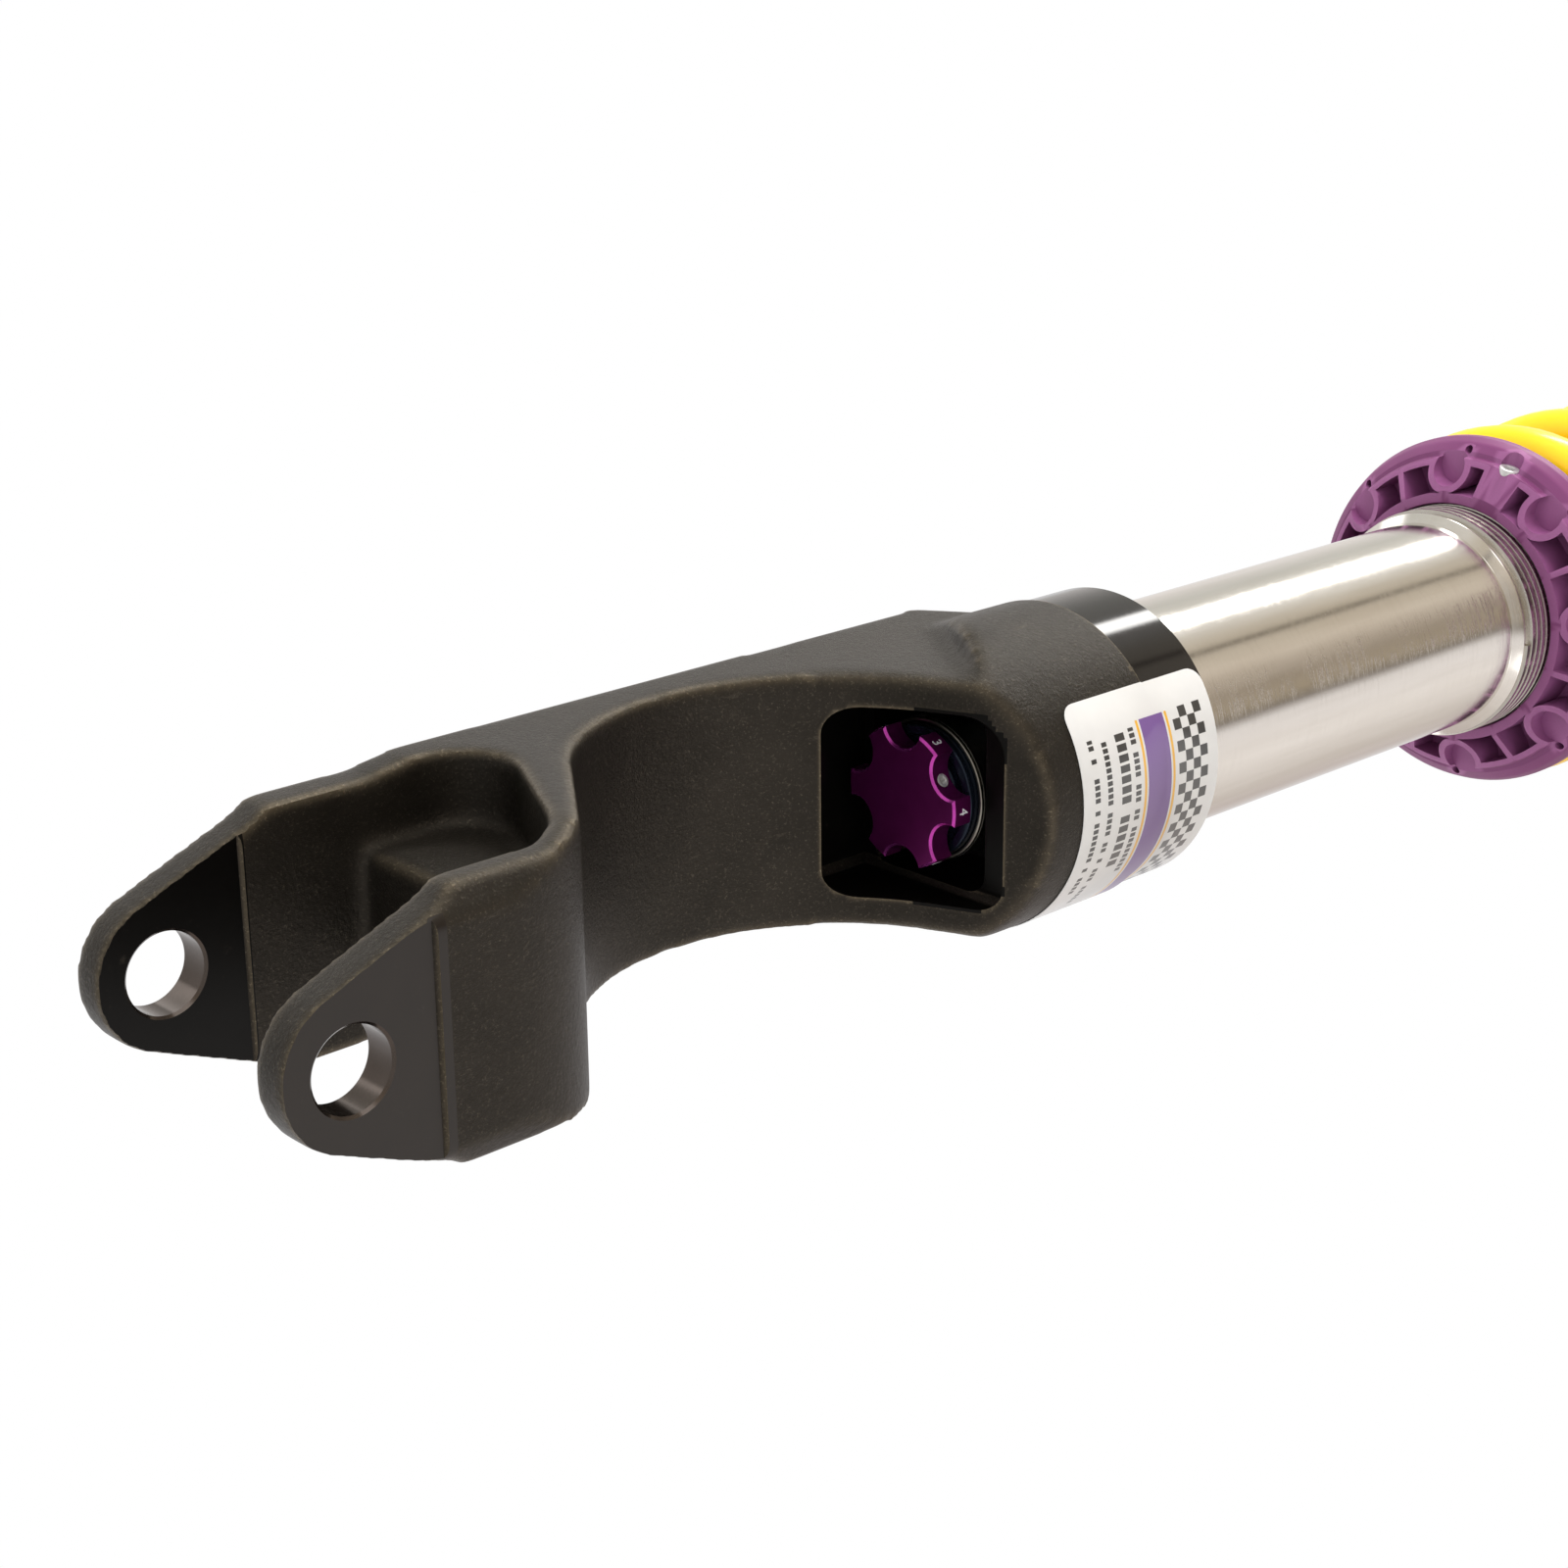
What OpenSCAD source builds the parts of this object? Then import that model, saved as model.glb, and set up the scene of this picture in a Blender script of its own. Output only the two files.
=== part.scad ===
// Height- and damping-adjustable coilover with a forged clevis fork.
// Origin: centre of the fork's bolt hole. +Z runs up the strut, +X along the fork bolt.

/* [Fork] */
// Diameter of the fork's bolt hole, for an M14 bolt
bolt_hole_d = 15; // [14.5:0.1:16]
// Clear width between the two ears
ear_gap = 47; // [44:0.5:50]
// Width over the outsides of the two ears
ear_span = 61.5; // [58:0.5:64]
// Radius of the rounded end of each ear
nose_r = 14.2; // [12.5:0.1:15]
// Width of the clevis along Y
clevis_w = 49.6; // [46:0.2:51]
// Width of the neck along Y
neck_w = 53; // [50:0.5:55]
// Distance from the strut's axis to the neck's flat back
neck_back = 31.3; // [30:0.1:32]
// Radius of the hollow that clears the drive shaft
scoop_r = 47; // [44:0.5:50]
// Diameter of the forged socket
socket_d = 63.4; // [62:0.2:66]
// Diameter of the turned band at the socket's top
band_d = 62; // [60:0.2:62]
// Height of the turned band
band_h = 18.7; // [12:0.1:24]
// Height of the socket's top above the bolt
socket_top = 213.7; // [212:0.1:216]
// Width of the adjuster window along Y
window_w = 39.6; // [34:0.2:42]

/* [Damper] */
// Outside diameter of the polished tube
tube_d = 50; // [50:0.5:50]
// Outside diameter of the height thread
thread_d = 55; // [54:0.5:55]
// Pitch of the height thread
thread_pitch = 2; // [1.5:0.5:3]
// Bore of the inner pressure tube
piston_d = 36; // [36:1:36]
// Diameter of the piston rod
rod_d = 14; // [14:1:14]
// Number of lobes on the compression knob
knob_lobes = 6; // [5:1:8]
// Radius over the knob's lobes
knob_r = 14.5; // [13:0.1:15]

/* [Spring] */
// Wire diameter of the main spring
wire_d = 12.5; // [11:0.5:13]
// Mean diameter of the coils
coil_d = 73.5; // [73:0.5:75]
// Free length of the spring
spring_l = 210; // [205:1:215]
// Number of turns, closed ends included
spring_turns = 8; // [7:1:9]

/* [Spring perch] */
// Outside diameter of the perch
perch_d = 85.4; // [84:0.2:86]
// Number of spanner notches
notches = 8; // [6:1:10]

/* [Top mount] */
// Pitch circle of the top mount's studs
stud_pcd = 100; // [98:1:110]
// Diameter of the studs
stud_d = 8; // [6:1:10]
// Length of the studs above the flange
stud_l = 24; // [16:1:30]

/* [Hidden] */
$fn = 96;
eps = 0.01;
// Running gap between a turning or sliding round piece and its hole
run_gap = 0.08;
tube_r = tube_d / 2;
tube_wall = 3;
tube_in_r = tube_r - tube_wall;
bore_r = piston_d / 2;
rod_r = rod_d / 2;
spigot_r = 5;
stem_r = 2.5;
control_r = 2;

// Fork stations along Z
nose_z = 1;
ear_top = 16;
web_z = 40;
web_half = 12;
forged_gap = ear_gap - 1.4;
scoop_x = scoop_r - 20;
scoop_z = 108;
band_z = socket_top - band_h;
tube_z = 179;
cavity_step = 160;
cavity_back = 18;
window_x = 22.5;
window_z = 138.5;
// Height at which the clevis ends and the neck begins
neck_z = 68;

// Stations of the damper's inner pieces
guide_z = 403;
tube_top = 423;
cap_top = 427;
thread_z = 330;
thread_start = 335;
foot_z = 190;
piston_z = 335;
piston_h = 22;
shoulder_z = 362;

// Stations of the spring, its seats and the top mount
perch_z = 341.5;
seat_z = perch_z + 12;
spring_z = seat_z + 1;
spring_top = spring_z + spring_l;
plate_z = spring_top + 4;
mount_z = plate_z + 3;
flange_z = mount_z + 18.5;
flange_h = 7;
mount_top = mount_z + 32.5;
rod_end = mount_z + 56.5;
notch_r = 36;
pocket_r = 30.2;
notch_a0 = -97;
screw_a = notch_a0 + 180 / notches;

// Radius of the pressed root that holds a stud in the flange
stud_root_r = stud_d / 2 + 0.4;

// ---- shared shapes ----

// Points of an arc about [x, y], from angle a0 to a1
function arc(x, y, r, a0, a1, n = 16) =
    [for (i = [0:n]) let (a = a0 + (a1 - a0) * i / n) [x + r * cos(a), y + r * sin(a)]];

// Straight tube or disc from z0 to z1
module ring(r_out, r_in, z0, z1) {
    translate([0, 0, z0]) difference() {
        cylinder(r = r_out, h = z1 - z0);
        translate([0, 0, -1]) cylinder(r = r_in, h = z1 - z0 + 2);
    }
}

module disc(r, z0, z1) {
    translate([0, 0, z0]) cylinder(r = r, h = z1 - z0);
}

// Hexagon across flats af
module hex(af, z0, z1) {
    translate([0, 0, z0]) cylinder(d = af / cos(30), h = z1 - z0, $fn = 6);
}

// Extrudes an outline drawn in X and Z along Y, centred
module along_y(w) {
    translate([0, w / 2, 0]) rotate([90, 0, 0]) linear_extrude(w) children();
}

// Extrudes an outline drawn in Y and Z along X, centred
module along_x(w) {
    translate([-w / 2, 0, 0]) rotate([90, 0, 90]) linear_extrude(w) children();
}

// ---- fork ----

// Outline of the fork seen along the bolt, in Y and Z
module fork_front() {
    reach = [clevis_w / 2 - 2.5, 18 - nose_z];
    tangent_a = atan2(reach[1], reach[0]) - acos(nose_r / norm(reach));
    tangent = [nose_r * cos(tangent_a), nose_z + nose_r * sin(tangent_a)];
    half = [tangent, [reach[0], 18], [clevis_w / 2, 22], [clevis_w / 2, 42],
        [neck_w / 2, 52], [neck_w / 2, band_z]];
    mirrored = [for (i = [len(half) - 1:-1:0]) [-half[i][0], half[i][1]]];
    translate([0, nose_z]) circle(r = nose_r);
    polygon(concat(half, mirrored));
}

// Outline of the fork seen from the front of the car, in X and Z: the shoulder over the
// clevis is rounded, then the scoop bows the neck away from the drive shaft. Above the
// scoop the outline reaches out to x = out
module fork_side(out) {
    shoulder_r = 36;
    side = 31.4;
    lip_a = 114;
    lip = [scoop_x + scoop_r * cos(lip_a), scoop_z + scoop_r * sin(lip_a)];
    shoulder = arc(side - shoulder_r, 28.9, shoulder_r, 0, 43, 12);
    scoop = arc(scoop_x, scoop_z, scoop_r, 228, lip_a, 28);
    polygon(concat([[-neck_back, -nose_r], [side, -nose_r]], shoulder, scoop,
        [[out, lip[1] + (out - lip[0]) / tan(180 - lip_a)], [out, band_z], [-neck_back, band_z]]));
}

// Clevis and neck in one bar, whose corners taper into the socket's top
module fork_bar() {
    r = socket_d / 2;
    taper_z = 159;
    intersection() {
        along_y(80) fork_side(16);
        along_x(80) fork_front();
        union() {
            translate([-50, -50, -20]) cube([100, 100, taper_z + 21]);
            translate([0, 0, taper_z]) cylinder(r1 = r + band_z - taper_z, r2 = r, h = band_z - taper_z);
        }
    }
}

// Socket cylinder above the scoop; its sides run out into the neck's flats on a slant
module fork_socket() {
    r = socket_d / 2;
    intersection() {
        disc(r, 112, band_z);
        along_y(80) fork_side(40);
        translate([-50, -neck_w / 2, 100]) cube([100, neck_w, 100]);
    }
    intersection() {
        disc(r, 150, band_z);
        along_y(80) polygon([[-r - 1, 190], [-24, 184], [17, 157], [r + 1, 163],
            [r + 1, band_z], [-r - 1, band_z]]);
    }
    disc(band_d / 2, band_z - eps, socket_top);
}

// Round-ended pocket of the clevis, in X and Z
module pocket_outline(z0) {
    w = forged_gap / 2;
    polygon(concat([[w, z0]], arc(w - 15.8, 38, 15.8, 0, 62.6, 10),
        arc(10.8 - w, 53.5, 10.8, 62.6, 180, 10), [[-w, z0]]));
}

module clevis_gap() {
    translate([-ear_gap / 2, -40, -30]) cube([ear_gap, 80, 30 + ear_top]);
    intersection() {
        along_y(80) pocket_outline(0);
        translate([-40, -40, 0]) cube([80, 80, web_z]);
    }
    difference() {
        along_y(80) pocket_outline(web_z - 5);
        translate([-40, -web_half, 0]) cube([80, 2 * web_half, 100]);
    }
}

// Machined relief on the outsides of the ears
module ear_facing() {
    for (s = [-1, 1])
        translate([s * (ear_span / 2 + 5), 0, ear_top - 25])
            cube([10, 80, 50], center = true);
}

module adjuster_window() {
    y0 = -window_w / 2;
    translate([-cavity_back, y0, 100])
        cube([cavity_back + window_x, window_w, cavity_step - 100]);
    translate([-cavity_back + 2.6, y0 + 1.2, cavity_step - eps])
        cube([2 * (cavity_back - 2.6), window_w - 2.4, tube_z - 3 - cavity_step + 2 * eps]);
}

module fork() {
    color([0.17, 0.16, 0.15]) difference() {
        union() {
            fork_bar();
            fork_socket();
        }
        clevis_gap();
        ear_facing();
        rotate([0, 90, 0]) cylinder(d = bolt_hole_d, h = 100, center = true);
        // The window opens the scoop's upper face only, so the neck's back stays whole
        intersection() {
            adjuster_window();
            translate([-cavity_back, -40, window_z]) cube([60, 80, 50]);
        }
        disc(tube_r, tube_z - 3, socket_top + 1);
    }
}

// The forging is one piece. It is held as three sections that meet face to face, so that each
// one's collision shape can follow the clevis, the scoop and the window
module fork_section(bottom, top) {
    intersection() {
        fork();
        translate([-60, -60, bottom]) cube([120, 120, top - bottom]);
    }
}

module fork_clevis() {
    fork_section(-20, neck_z);
}

module fork_neck() {
    fork_section(neck_z, window_z);
}

module fork_collar() {
    fork_section(window_z, socket_top + 1);
}

// A thin printed foil round the socket
module socket_label() {
    r = socket_d / 2 + 0.02;
    b = band_d / 2 + 0.02;
    t = 0.2;
    color([0.93, 0.93, 0.92]) rotate([0, 0, -39]) rotate_extrude(angle = 118)
        polygon([[r, 170.3], [r + t, 170.3], [r + t, band_z], [b + t, band_z + 0.5],
            [b + t, socket_top - 1], [b, socket_top - 1], [b, band_z + 0.3], [r, band_z]]);
}

// ---- damper body ----

module damper_tube() {
    r = thread_d / 2;
    crests = floor((tube_top - 2 - thread_start) / thread_pitch);
    depth = 0.5 * thread_pitch;
    thread = [for (i = [0:crests - 1]) let (z = thread_start + i * thread_pitch)
        each [[r - depth, z], [r, z + 0.4 * thread_pitch], [r, z + 0.6 * thread_pitch]]];
    color([0.78, 0.77, 0.75]) rotate_extrude()
        polygon(concat([[tube_in_r, tube_z], [tube_r, tube_z], [tube_r, thread_z],
            [r - 0.3, thread_z + 1.7], [r - 0.3, thread_start - 1], [r - depth, thread_start - 0.5]],
            thread, [[r - depth, tube_top], [tube_in_r, tube_top]]));
}

module pressure_tube() {
    color([0.72, 0.72, 0.73]) ring(bore_r + 2, bore_r, foot_z + 6, guide_z + 6);
}

module base_cap() {
    color([0.7, 0.7, 0.7]) difference() {
        union() {
            disc(14.7, 160.6, tube_z - 3);
            disc(tube_r, tube_z - 3, tube_z);
            disc(tube_in_r, tube_z, foot_z);
        }
        disc(11, 160, 172);
        disc(stem_r + run_gap, 170, foot_z + 1);
    }
}

module foot_valve_body() {
    color([0.75, 0.75, 0.76]) difference() {
        union() {
            disc(tube_in_r - 1, foot_z, foot_z + 6);
            disc(bore_r, foot_z + 6, foot_z + 16);
        }
        disc(3, foot_z - 1, foot_z + 17);
        for (a = [0:60:300]) rotate([0, 0, a]) translate([9, 0, foot_z - 1]) {
            cylinder(r = 1.8, h = 18);
        }
    }
}

module foot_valve_shims() {
    color([0.6, 0.6, 0.62]) {
        ring(13, 3, foot_z + 16, foot_z + 17);
        ring(11, 3, foot_z + 17, foot_z + 18);
    }
}

module foot_valve_bolt() {
    color([0.55, 0.55, 0.56]) difference() {
        hex(11, foot_z + 18, foot_z + 25);
        disc(stem_r + 0.3, foot_z + 17, foot_z + 22);
    }
}

module adjuster_housing() {
    color([0.1, 0.13, 0.2]) difference() {
        union() {
            disc(13.7, 157.6, 160.6);
            disc(11, 160.6, 170);
        }
        disc(stem_r + run_gap, 157, 171);
        rotate([0, 0, 15]) translate([7, 0, 157]) cylinder(r = 1.3, h = 7.6);
    }
}

module retaining_ring() {
    color([0.85, 0.85, 0.85]) difference() {
        ring(14.7, 13.75, 159.6, 160.6);
        rotate([0, 0, 180]) translate([10, -2, 159]) cube([8, 4, 2]);
    }
}

module detent_ball() {
    color([0.85, 0.85, 0.87]) rotate([0, 0, 15]) translate([7, 0, 158.75]) sphere(r = 1.2);
}

module detent_spring() {
    color([0.7, 0.7, 0.72]) rotate([0, 0, 15]) translate([7, 0, 160]) cylinder(r = 1.2, h = 4.5);
}

module rod_guide() {
    color([0.75, 0.74, 0.72]) difference() {
        union() {
            disc(bore_r, guide_z, guide_z + 6);
            disc(tube_in_r, guide_z + 6, guide_z + 14);
        }
        disc(rod_r + 1.5, guide_z - 1, guide_z + 15);
    }
}

module guide_bush() {
    color([0.5, 0.42, 0.3]) ring(rod_r + 1.5, rod_r + run_gap, guide_z, guide_z + 14);
}

module rod_seal() {
    color([0.08, 0.08, 0.08]) ring(tube_in_r, rod_r + run_gap, guide_z + 14, guide_z + 18);
}

module tube_cap() {
    color([0.13, 0.13, 0.14]) difference() {
        union() {
            disc(tube_in_r, guide_z + 18, tube_top);
            disc(thread_d / 2 - 1.2, tube_top, cap_top);
        }
        disc(11, guide_z + 17, cap_top + 1);
        for (a = [45:90:315]) rotate([0, 0, a])
            translate([18, 0, tube_top + 1]) cylinder(r = 2.2, h = 5);
    }
}

module rod_wiper() {
    r = rod_r + run_gap;
    color([0.06, 0.06, 0.06]) rotate_extrude()
        polygon([[r, guide_z + 18], [11, guide_z + 18], [11, cap_top], [r + 1.5, cap_top + 2],
            [r, cap_top + 2]]);
}

// ---- compression adjuster ----

module compression_knob() {
    z0 = 152;
    h = 5.2;
    step = 360 / knob_lobes;
    color([0.35, 0.1, 0.38]) difference() {
        union() {
            disc(knob_r, z0 + 0.6, z0 + h);
            translate([0, 0, z0]) cylinder(r1 = knob_r - 0.6, r2 = knob_r, h = 0.6 + eps);
        }
        for (i = [0:knob_lobes - 1]) rotate([0, 0, step * (i + 0.5)])
            translate([knob_r + 0.6, 0, z0 - 1]) cylinder(r = 4.9, h = h + 2);
        disc(stem_r + run_gap, z0 + 1.4, z0 + h + 1);
        rotate([0, 0, -step / 2]) translate([0, 0, z0 + 2.8]) rotate([0, 90, 0])
            cylinder(r = 1.5, h = 20);
    }
}

module knob_screw() {
    color([0.75, 0.75, 0.75]) rotate([0, 0, -180 / knob_lobes]) translate([stem_r + 0.6, 0, 154.8])
        rotate([0, 90, 0]) difference() {
            cylinder(r = 1.45, h = 6.6);
            translate([0, 0, 5]) cylinder(d = 1.5 / cos(30), h = 2, $fn = 6);
        }
}

module compression_needle() {
    color([0.8, 0.8, 0.8]) union() {
        disc(stem_r, 154, foot_z + 8);
        translate([0, 0, foot_z + 8]) cylinder(r1 = stem_r, r2 = 0.6, h = 6);
    }
}

// ---- spring perch ----

module slip_ring() {
    color([0.1, 0.1, 0.1]) ring(41.5, 30.8, seat_z, spring_z);
}

// One pocket between the hub and the rim, beside the rib at angle a
module perch_pocket(a, side) {
    rotate([0, 0, a]) difference() {
        intersection() {
            ring(37, pocket_r, perch_z - 1, perch_z + 8);
            translate([0, 0, perch_z - 2]) linear_extrude(12)
                polygon([[0, 0], [50 * cos(2.4), side * 50 * sin(2.4)], [50 * cos(18), side * 50 * sin(18)]]);
        }
        rotate([0, 0, side * 180 / notches]) translate([notch_r, 0, perch_z - 2])
            cylinder(r = 6.9, h = 14);
    }
}

module spring_perch() {
    hub = thread_d / 2 + 0.3;
    r = perch_d / 2;
    step = 360 / notches;
    color([0.42, 0.18, 0.4]) difference() {
        rotate_extrude() polygon([[hub, perch_z], [hub + 3, perch_z], [38.5, perch_z + 3.6],
            [38.5, perch_z + 5.4], [39.8, perch_z + 5.6], [41.6, perch_z + 7.2], [r, perch_z + 9.5],
            [r, seat_z], [30.3, seat_z], [30.3, seat_z + 8], [hub, seat_z + 8]]);
        for (i = [0:notches - 1]) rotate([0, 0, notch_a0 + i * step]) {
            translate([notch_r, 0, perch_z - 1]) cylinder(r = 4.5, h = 8);
            translate([notch_r, -3, perch_z - 1]) cube([3.4, 6, 6.8]);
            rotate([0, 0, 4]) translate([39.3, 0, perch_z]) cylinder(r = 1.2, h = 14);
        }
        for (i = [0:notches - 1], s = [-1, 1])
            if (i > 0) perch_pocket(screw_a + i * step, s);
        rotate([0, 0, screw_a]) translate([0, 0, perch_z + 5.5]) rotate([0, 90, 0])
            cylinder(r = 2.5, h = 60);
    }
}

module locking_screw() {
    color([0.8, 0.8, 0.8]) rotate([0, 0, screw_a]) translate([31, 0, perch_z + 5.5])
        rotate([0, 90, 0]) difference() {
            cylinder(r = 2.45, h = 8);
            translate([0, 0, 5]) cylinder(d = 2.5 / cos(30), h = 4, $fn = 6);
        }
}

module locking_pad() {
    color([0.9, 0.88, 0.8]) rotate([0, 0, screw_a]) translate([thread_d / 2 + 0.5, 0, perch_z + 5.5])
        rotate([0, 90, 0]) cylinder(r = 2.4, h = 2.9);
}

// ---- main spring ----

// Height of the wire's centre after t turns: closed ends, even pitch between them
function coil_z(t) =
    let (close = wire_d + 0.4, low = 1.2, n = spring_turns,
        rise = (spring_l - 2 * (low + close)) / (n - 2))
    t < 1 ? low + close * t
    : t > n - 1 ? spring_l - low - close * (n - t)
    : low + close + rise * (t - 1);

module main_spring() {
    per_turn = 32;
    sides = 12;
    rings = spring_turns * per_turn;
    points = [for (i = [0:rings], j = [0:sides - 1]) let (
            t = i / per_turn, a = 360 * t - 60, b = 360 * j / sides,
            r = coil_d / 2 + wire_d / 2 * cos(b))
        [r * cos(a), r * sin(a), spring_z + coil_z(t) + wire_d / 2 * sin(b)]];
    sweep = [for (i = [0:rings - 1], j = [0:sides - 1]) let (k = (j + 1) % sides)
        [i * sides + j, i * sides + k, (i + 1) * sides + k, (i + 1) * sides + j]];
    first = [for (j = [sides - 1:-1:0]) j];
    last = [for (j = [0:sides - 1]) rings * sides + j];
    color([0.98, 0.8, 0.05]) intersection() {
        polyhedron(points, concat([first, last], sweep), convexity = 12);
        translate([-60, -60, spring_z]) cube([120, 120, spring_l]);
    }
}

// ---- rod and piston ----

module piston_rod() {
    color([0.88, 0.88, 0.9]) difference() {
        union() {
            disc(spigot_r, piston_z - 15, shoulder_z);
            disc(rod_r, shoulder_z, mount_z + 0.5);
            disc(6, mount_z + 0.5, rod_end);
        }
        disc(control_r + run_gap, piston_z - 2, rod_end + 1);
    }
}

module piston() {
    color([0.6, 0.55, 0.45]) difference() {
        disc(bore_r - 0.5, piston_z, piston_z + piston_h);
        disc(spigot_r, piston_z - 1, piston_z + piston_h + 1);
        ring(bore_r, bore_r - 1.3, piston_z + 6, piston_z + piston_h - 6);
        for (a = [0:60:300]) rotate([0, 0, a]) translate([11, 0, piston_z - 1]) {
            cylinder(r = 2, h = piston_h + 2);
        }
    }
}

module piston_band() {
    color([0.2, 0.18, 0.16]) ring(bore_r - run_gap, bore_r - 1.3, piston_z + 6, piston_z + piston_h - 6);
}

// Four shims that shrink away from the piston's face at z0, upwards for dir = 1
module shim_stack(z0, dir) {
    t = 0.75;
    for (i = [0:3])
        ring(15 - 2 * i, spigot_r, z0 + t * min(dir * i, dir * (i + 1)),
            z0 + t * max(dir * i, dir * (i + 1)));
}

module compression_shims() {
    color([0.62, 0.62, 0.65]) shim_stack(piston_z + piston_h, 1);
}

module rebound_shims() {
    color([0.62, 0.62, 0.65]) shim_stack(piston_z, -1);
}

module backing_washer() {
    color([0.5, 0.5, 0.5]) ring(11, spigot_r, piston_z + piston_h + 3, shoulder_z);
}

module piston_nut() {
    color([0.55, 0.55, 0.55]) difference() {
        hex(17, piston_z - 13, piston_z - 3);
        disc(spigot_r, piston_z - 14, piston_z - 2);
    }
}

module rebound_stop() {
    color([0.12, 0.12, 0.12]) ring(13, rod_r, shoulder_z + 4, shoulder_z + 14);
}

// ---- upper spring seat ----

module bump_stop() {
    z = plate_z - 54;
    color([0.82, 0.76, 0.5]) rotate_extrude() polygon([[rod_r + 0.2, z], [13, z], [17, z + 3],
        [19, z + 10], [16.5, z + 14], [19, z + 18], [21, z + 26], [18, z + 30], [21, z + 34],
        [21, z + 46], [rod_r + 0.2, z + 46]]);
}

module bump_cup() {
    z = plate_z - 14;
    color([0.1, 0.1, 0.1]) difference() {
        disc(23, z, plate_z);
        disc(21, z - 1, z + 6);
        disc(rod_r + 0.3, z, plate_z + 1);
    }
}

module dust_tube() {
    z = plate_z - 94;
    color([0.07, 0.07, 0.07]) rotate_extrude() polygon([[28.2, z], [29.5, z], [29.5, spring_top - 9],
        [30.3, spring_top - 8], [30.3, plate_z], [28.2, plate_z]]);
}

module upper_isolator() {
    color([0.06, 0.06, 0.06]) ring(44.6, 30.3, spring_top, plate_z);
}

module upper_spring_plate() {
    color([0.12, 0.12, 0.13]) union() {
        ring(47.5, 19.5, plate_z, mount_z);
        ring(47.5, 44.8, spring_top - 5, plate_z + eps);
    }
}

// ---- top mount ----

module mount_housing() {
    color([0.55, 0.55, 0.56]) difference() {
        union() {
            disc(36, mount_z, mount_top);
            disc(44, flange_z, flange_z + flange_h);
            for (a = [90:120:330]) rotate([0, 0, a]) {
                translate([stud_pcd / 2, 0, flange_z]) cylinder(r = 11, h = flange_h);
                translate([0, -11, flange_z]) cube([stud_pcd / 2, 22, flange_h]);
            }
        }
        disc(26, mount_z + 5.5, mount_top + 1);
        disc(19.5, mount_z - 1, mount_z + 6);
        for (a = [90:120:330]) rotate([0, 0, a]) translate([stud_pcd / 2, 0, flange_z - 1])
            cylinder(r = stud_root_r, h = flange_h + 2);
    }
}

module mount_bushing() {
    color([0.05, 0.05, 0.05]) ring(26, 10.2, mount_z + 5.5, mount_top - 3);
}

module bushing_sleeve() {
    color([0.7, 0.7, 0.72]) ring(10.2, 6, mount_z + 3.5, mount_top + 1);
}

module mount_cap() {
    color([0.15, 0.15, 0.15]) ring(35, 24, mount_top, mount_top + 2);
}

module lower_washer() {
    color([0.7, 0.68, 0.55]) ring(18.5, 6, mount_z + 0.5, mount_z + 3.5);
}

module upper_washer() {
    color([0.7, 0.68, 0.55]) ring(22, 6, mount_top + 1, mount_top + 4);
}

module rod_nut() {
    color([0.7, 0.68, 0.55]) difference() {
        union() {
            hex(19, mount_top + 4, mount_top + 14);
            disc(13, mount_top + 4, mount_top + 5.5);
        }
        disc(6, mount_top + 3, mount_top + 15);
    }
}

module mount_studs() {
    color([0.72, 0.7, 0.58]) for (a = [90:120:330]) rotate([0, 0, a]) translate([stud_pcd / 2, 0, 0]) {
        disc(7.5, flange_z - 3, flange_z);
        disc(stud_root_r, flange_z - eps, flange_z + flange_h + 0.8);
        disc(stud_d / 2, flange_z, flange_z + flange_h + stud_l - 1);
        translate([0, 0, flange_z + flange_h + stud_l - 1])
            cylinder(r1 = stud_d / 2, r2 = stud_d / 2 - 1, h = 1);
    }
}

// ---- rebound adjuster ----

module rebound_dial() {
    z = rod_end + 0.4;
    color([0.35, 0.1, 0.38]) difference() {
        disc(9, z, z + 9);
        for (a = [0:30:330]) rotate([0, 0, a]) translate([10.1, 0, z - 1]) cylinder(r = 2, h = 11);
        disc(control_r + run_gap, z - 1, z + 6);
        translate([0, 0, z + 4]) rotate([0, 90, 15]) cylinder(r = 1.5, h = 12);
    }
}

module dial_screw() {
    color([0.75, 0.75, 0.75]) rotate([0, 0, 15]) translate([control_r + 0.5, 0, rod_end + 4.4])
        rotate([0, 90, 0]) cylinder(r = 1.45, h = 5.6);
}

module control_rod() {
    color([0.8, 0.8, 0.82]) union() {
        disc(control_r, piston_z + 4, rod_end + 5.8);
        translate([0, 0, piston_z]) cylinder(r1 = 0.6, r2 = control_r, h = 4 + eps);
    }
}

fork_clevis();
fork_neck();
fork_collar();
damper_tube();
socket_label();
pressure_tube();
base_cap();
foot_valve_body();
foot_valve_shims();
foot_valve_bolt();
adjuster_housing();
retaining_ring();
detent_ball();
detent_spring();
rod_guide();
guide_bush();
rod_seal();
tube_cap();
rod_wiper();
compression_knob();
knob_screw();
compression_needle();
slip_ring();
spring_perch();
locking_screw();
locking_pad();
main_spring();
piston_rod();
piston();
piston_band();
compression_shims();
rebound_shims();
backing_washer();
piston_nut();
rebound_stop();
bump_stop();
bump_cup();
dust_tube();
upper_isolator();
upper_spring_plate();
mount_housing();
mount_bushing();
bushing_sleeve();
mount_cap();
lower_washer();
upper_washer();
rod_nut();
mount_studs();
rebound_dial();
dial_screw();
control_rod();
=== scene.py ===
from math import acos, atan2, cos, degrees, hypot, pi, radians, sin, tan, tau

import bmesh
import bpy
from mathutils import Matrix, Vector
from mathutils.kdtree import KDTree


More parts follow.
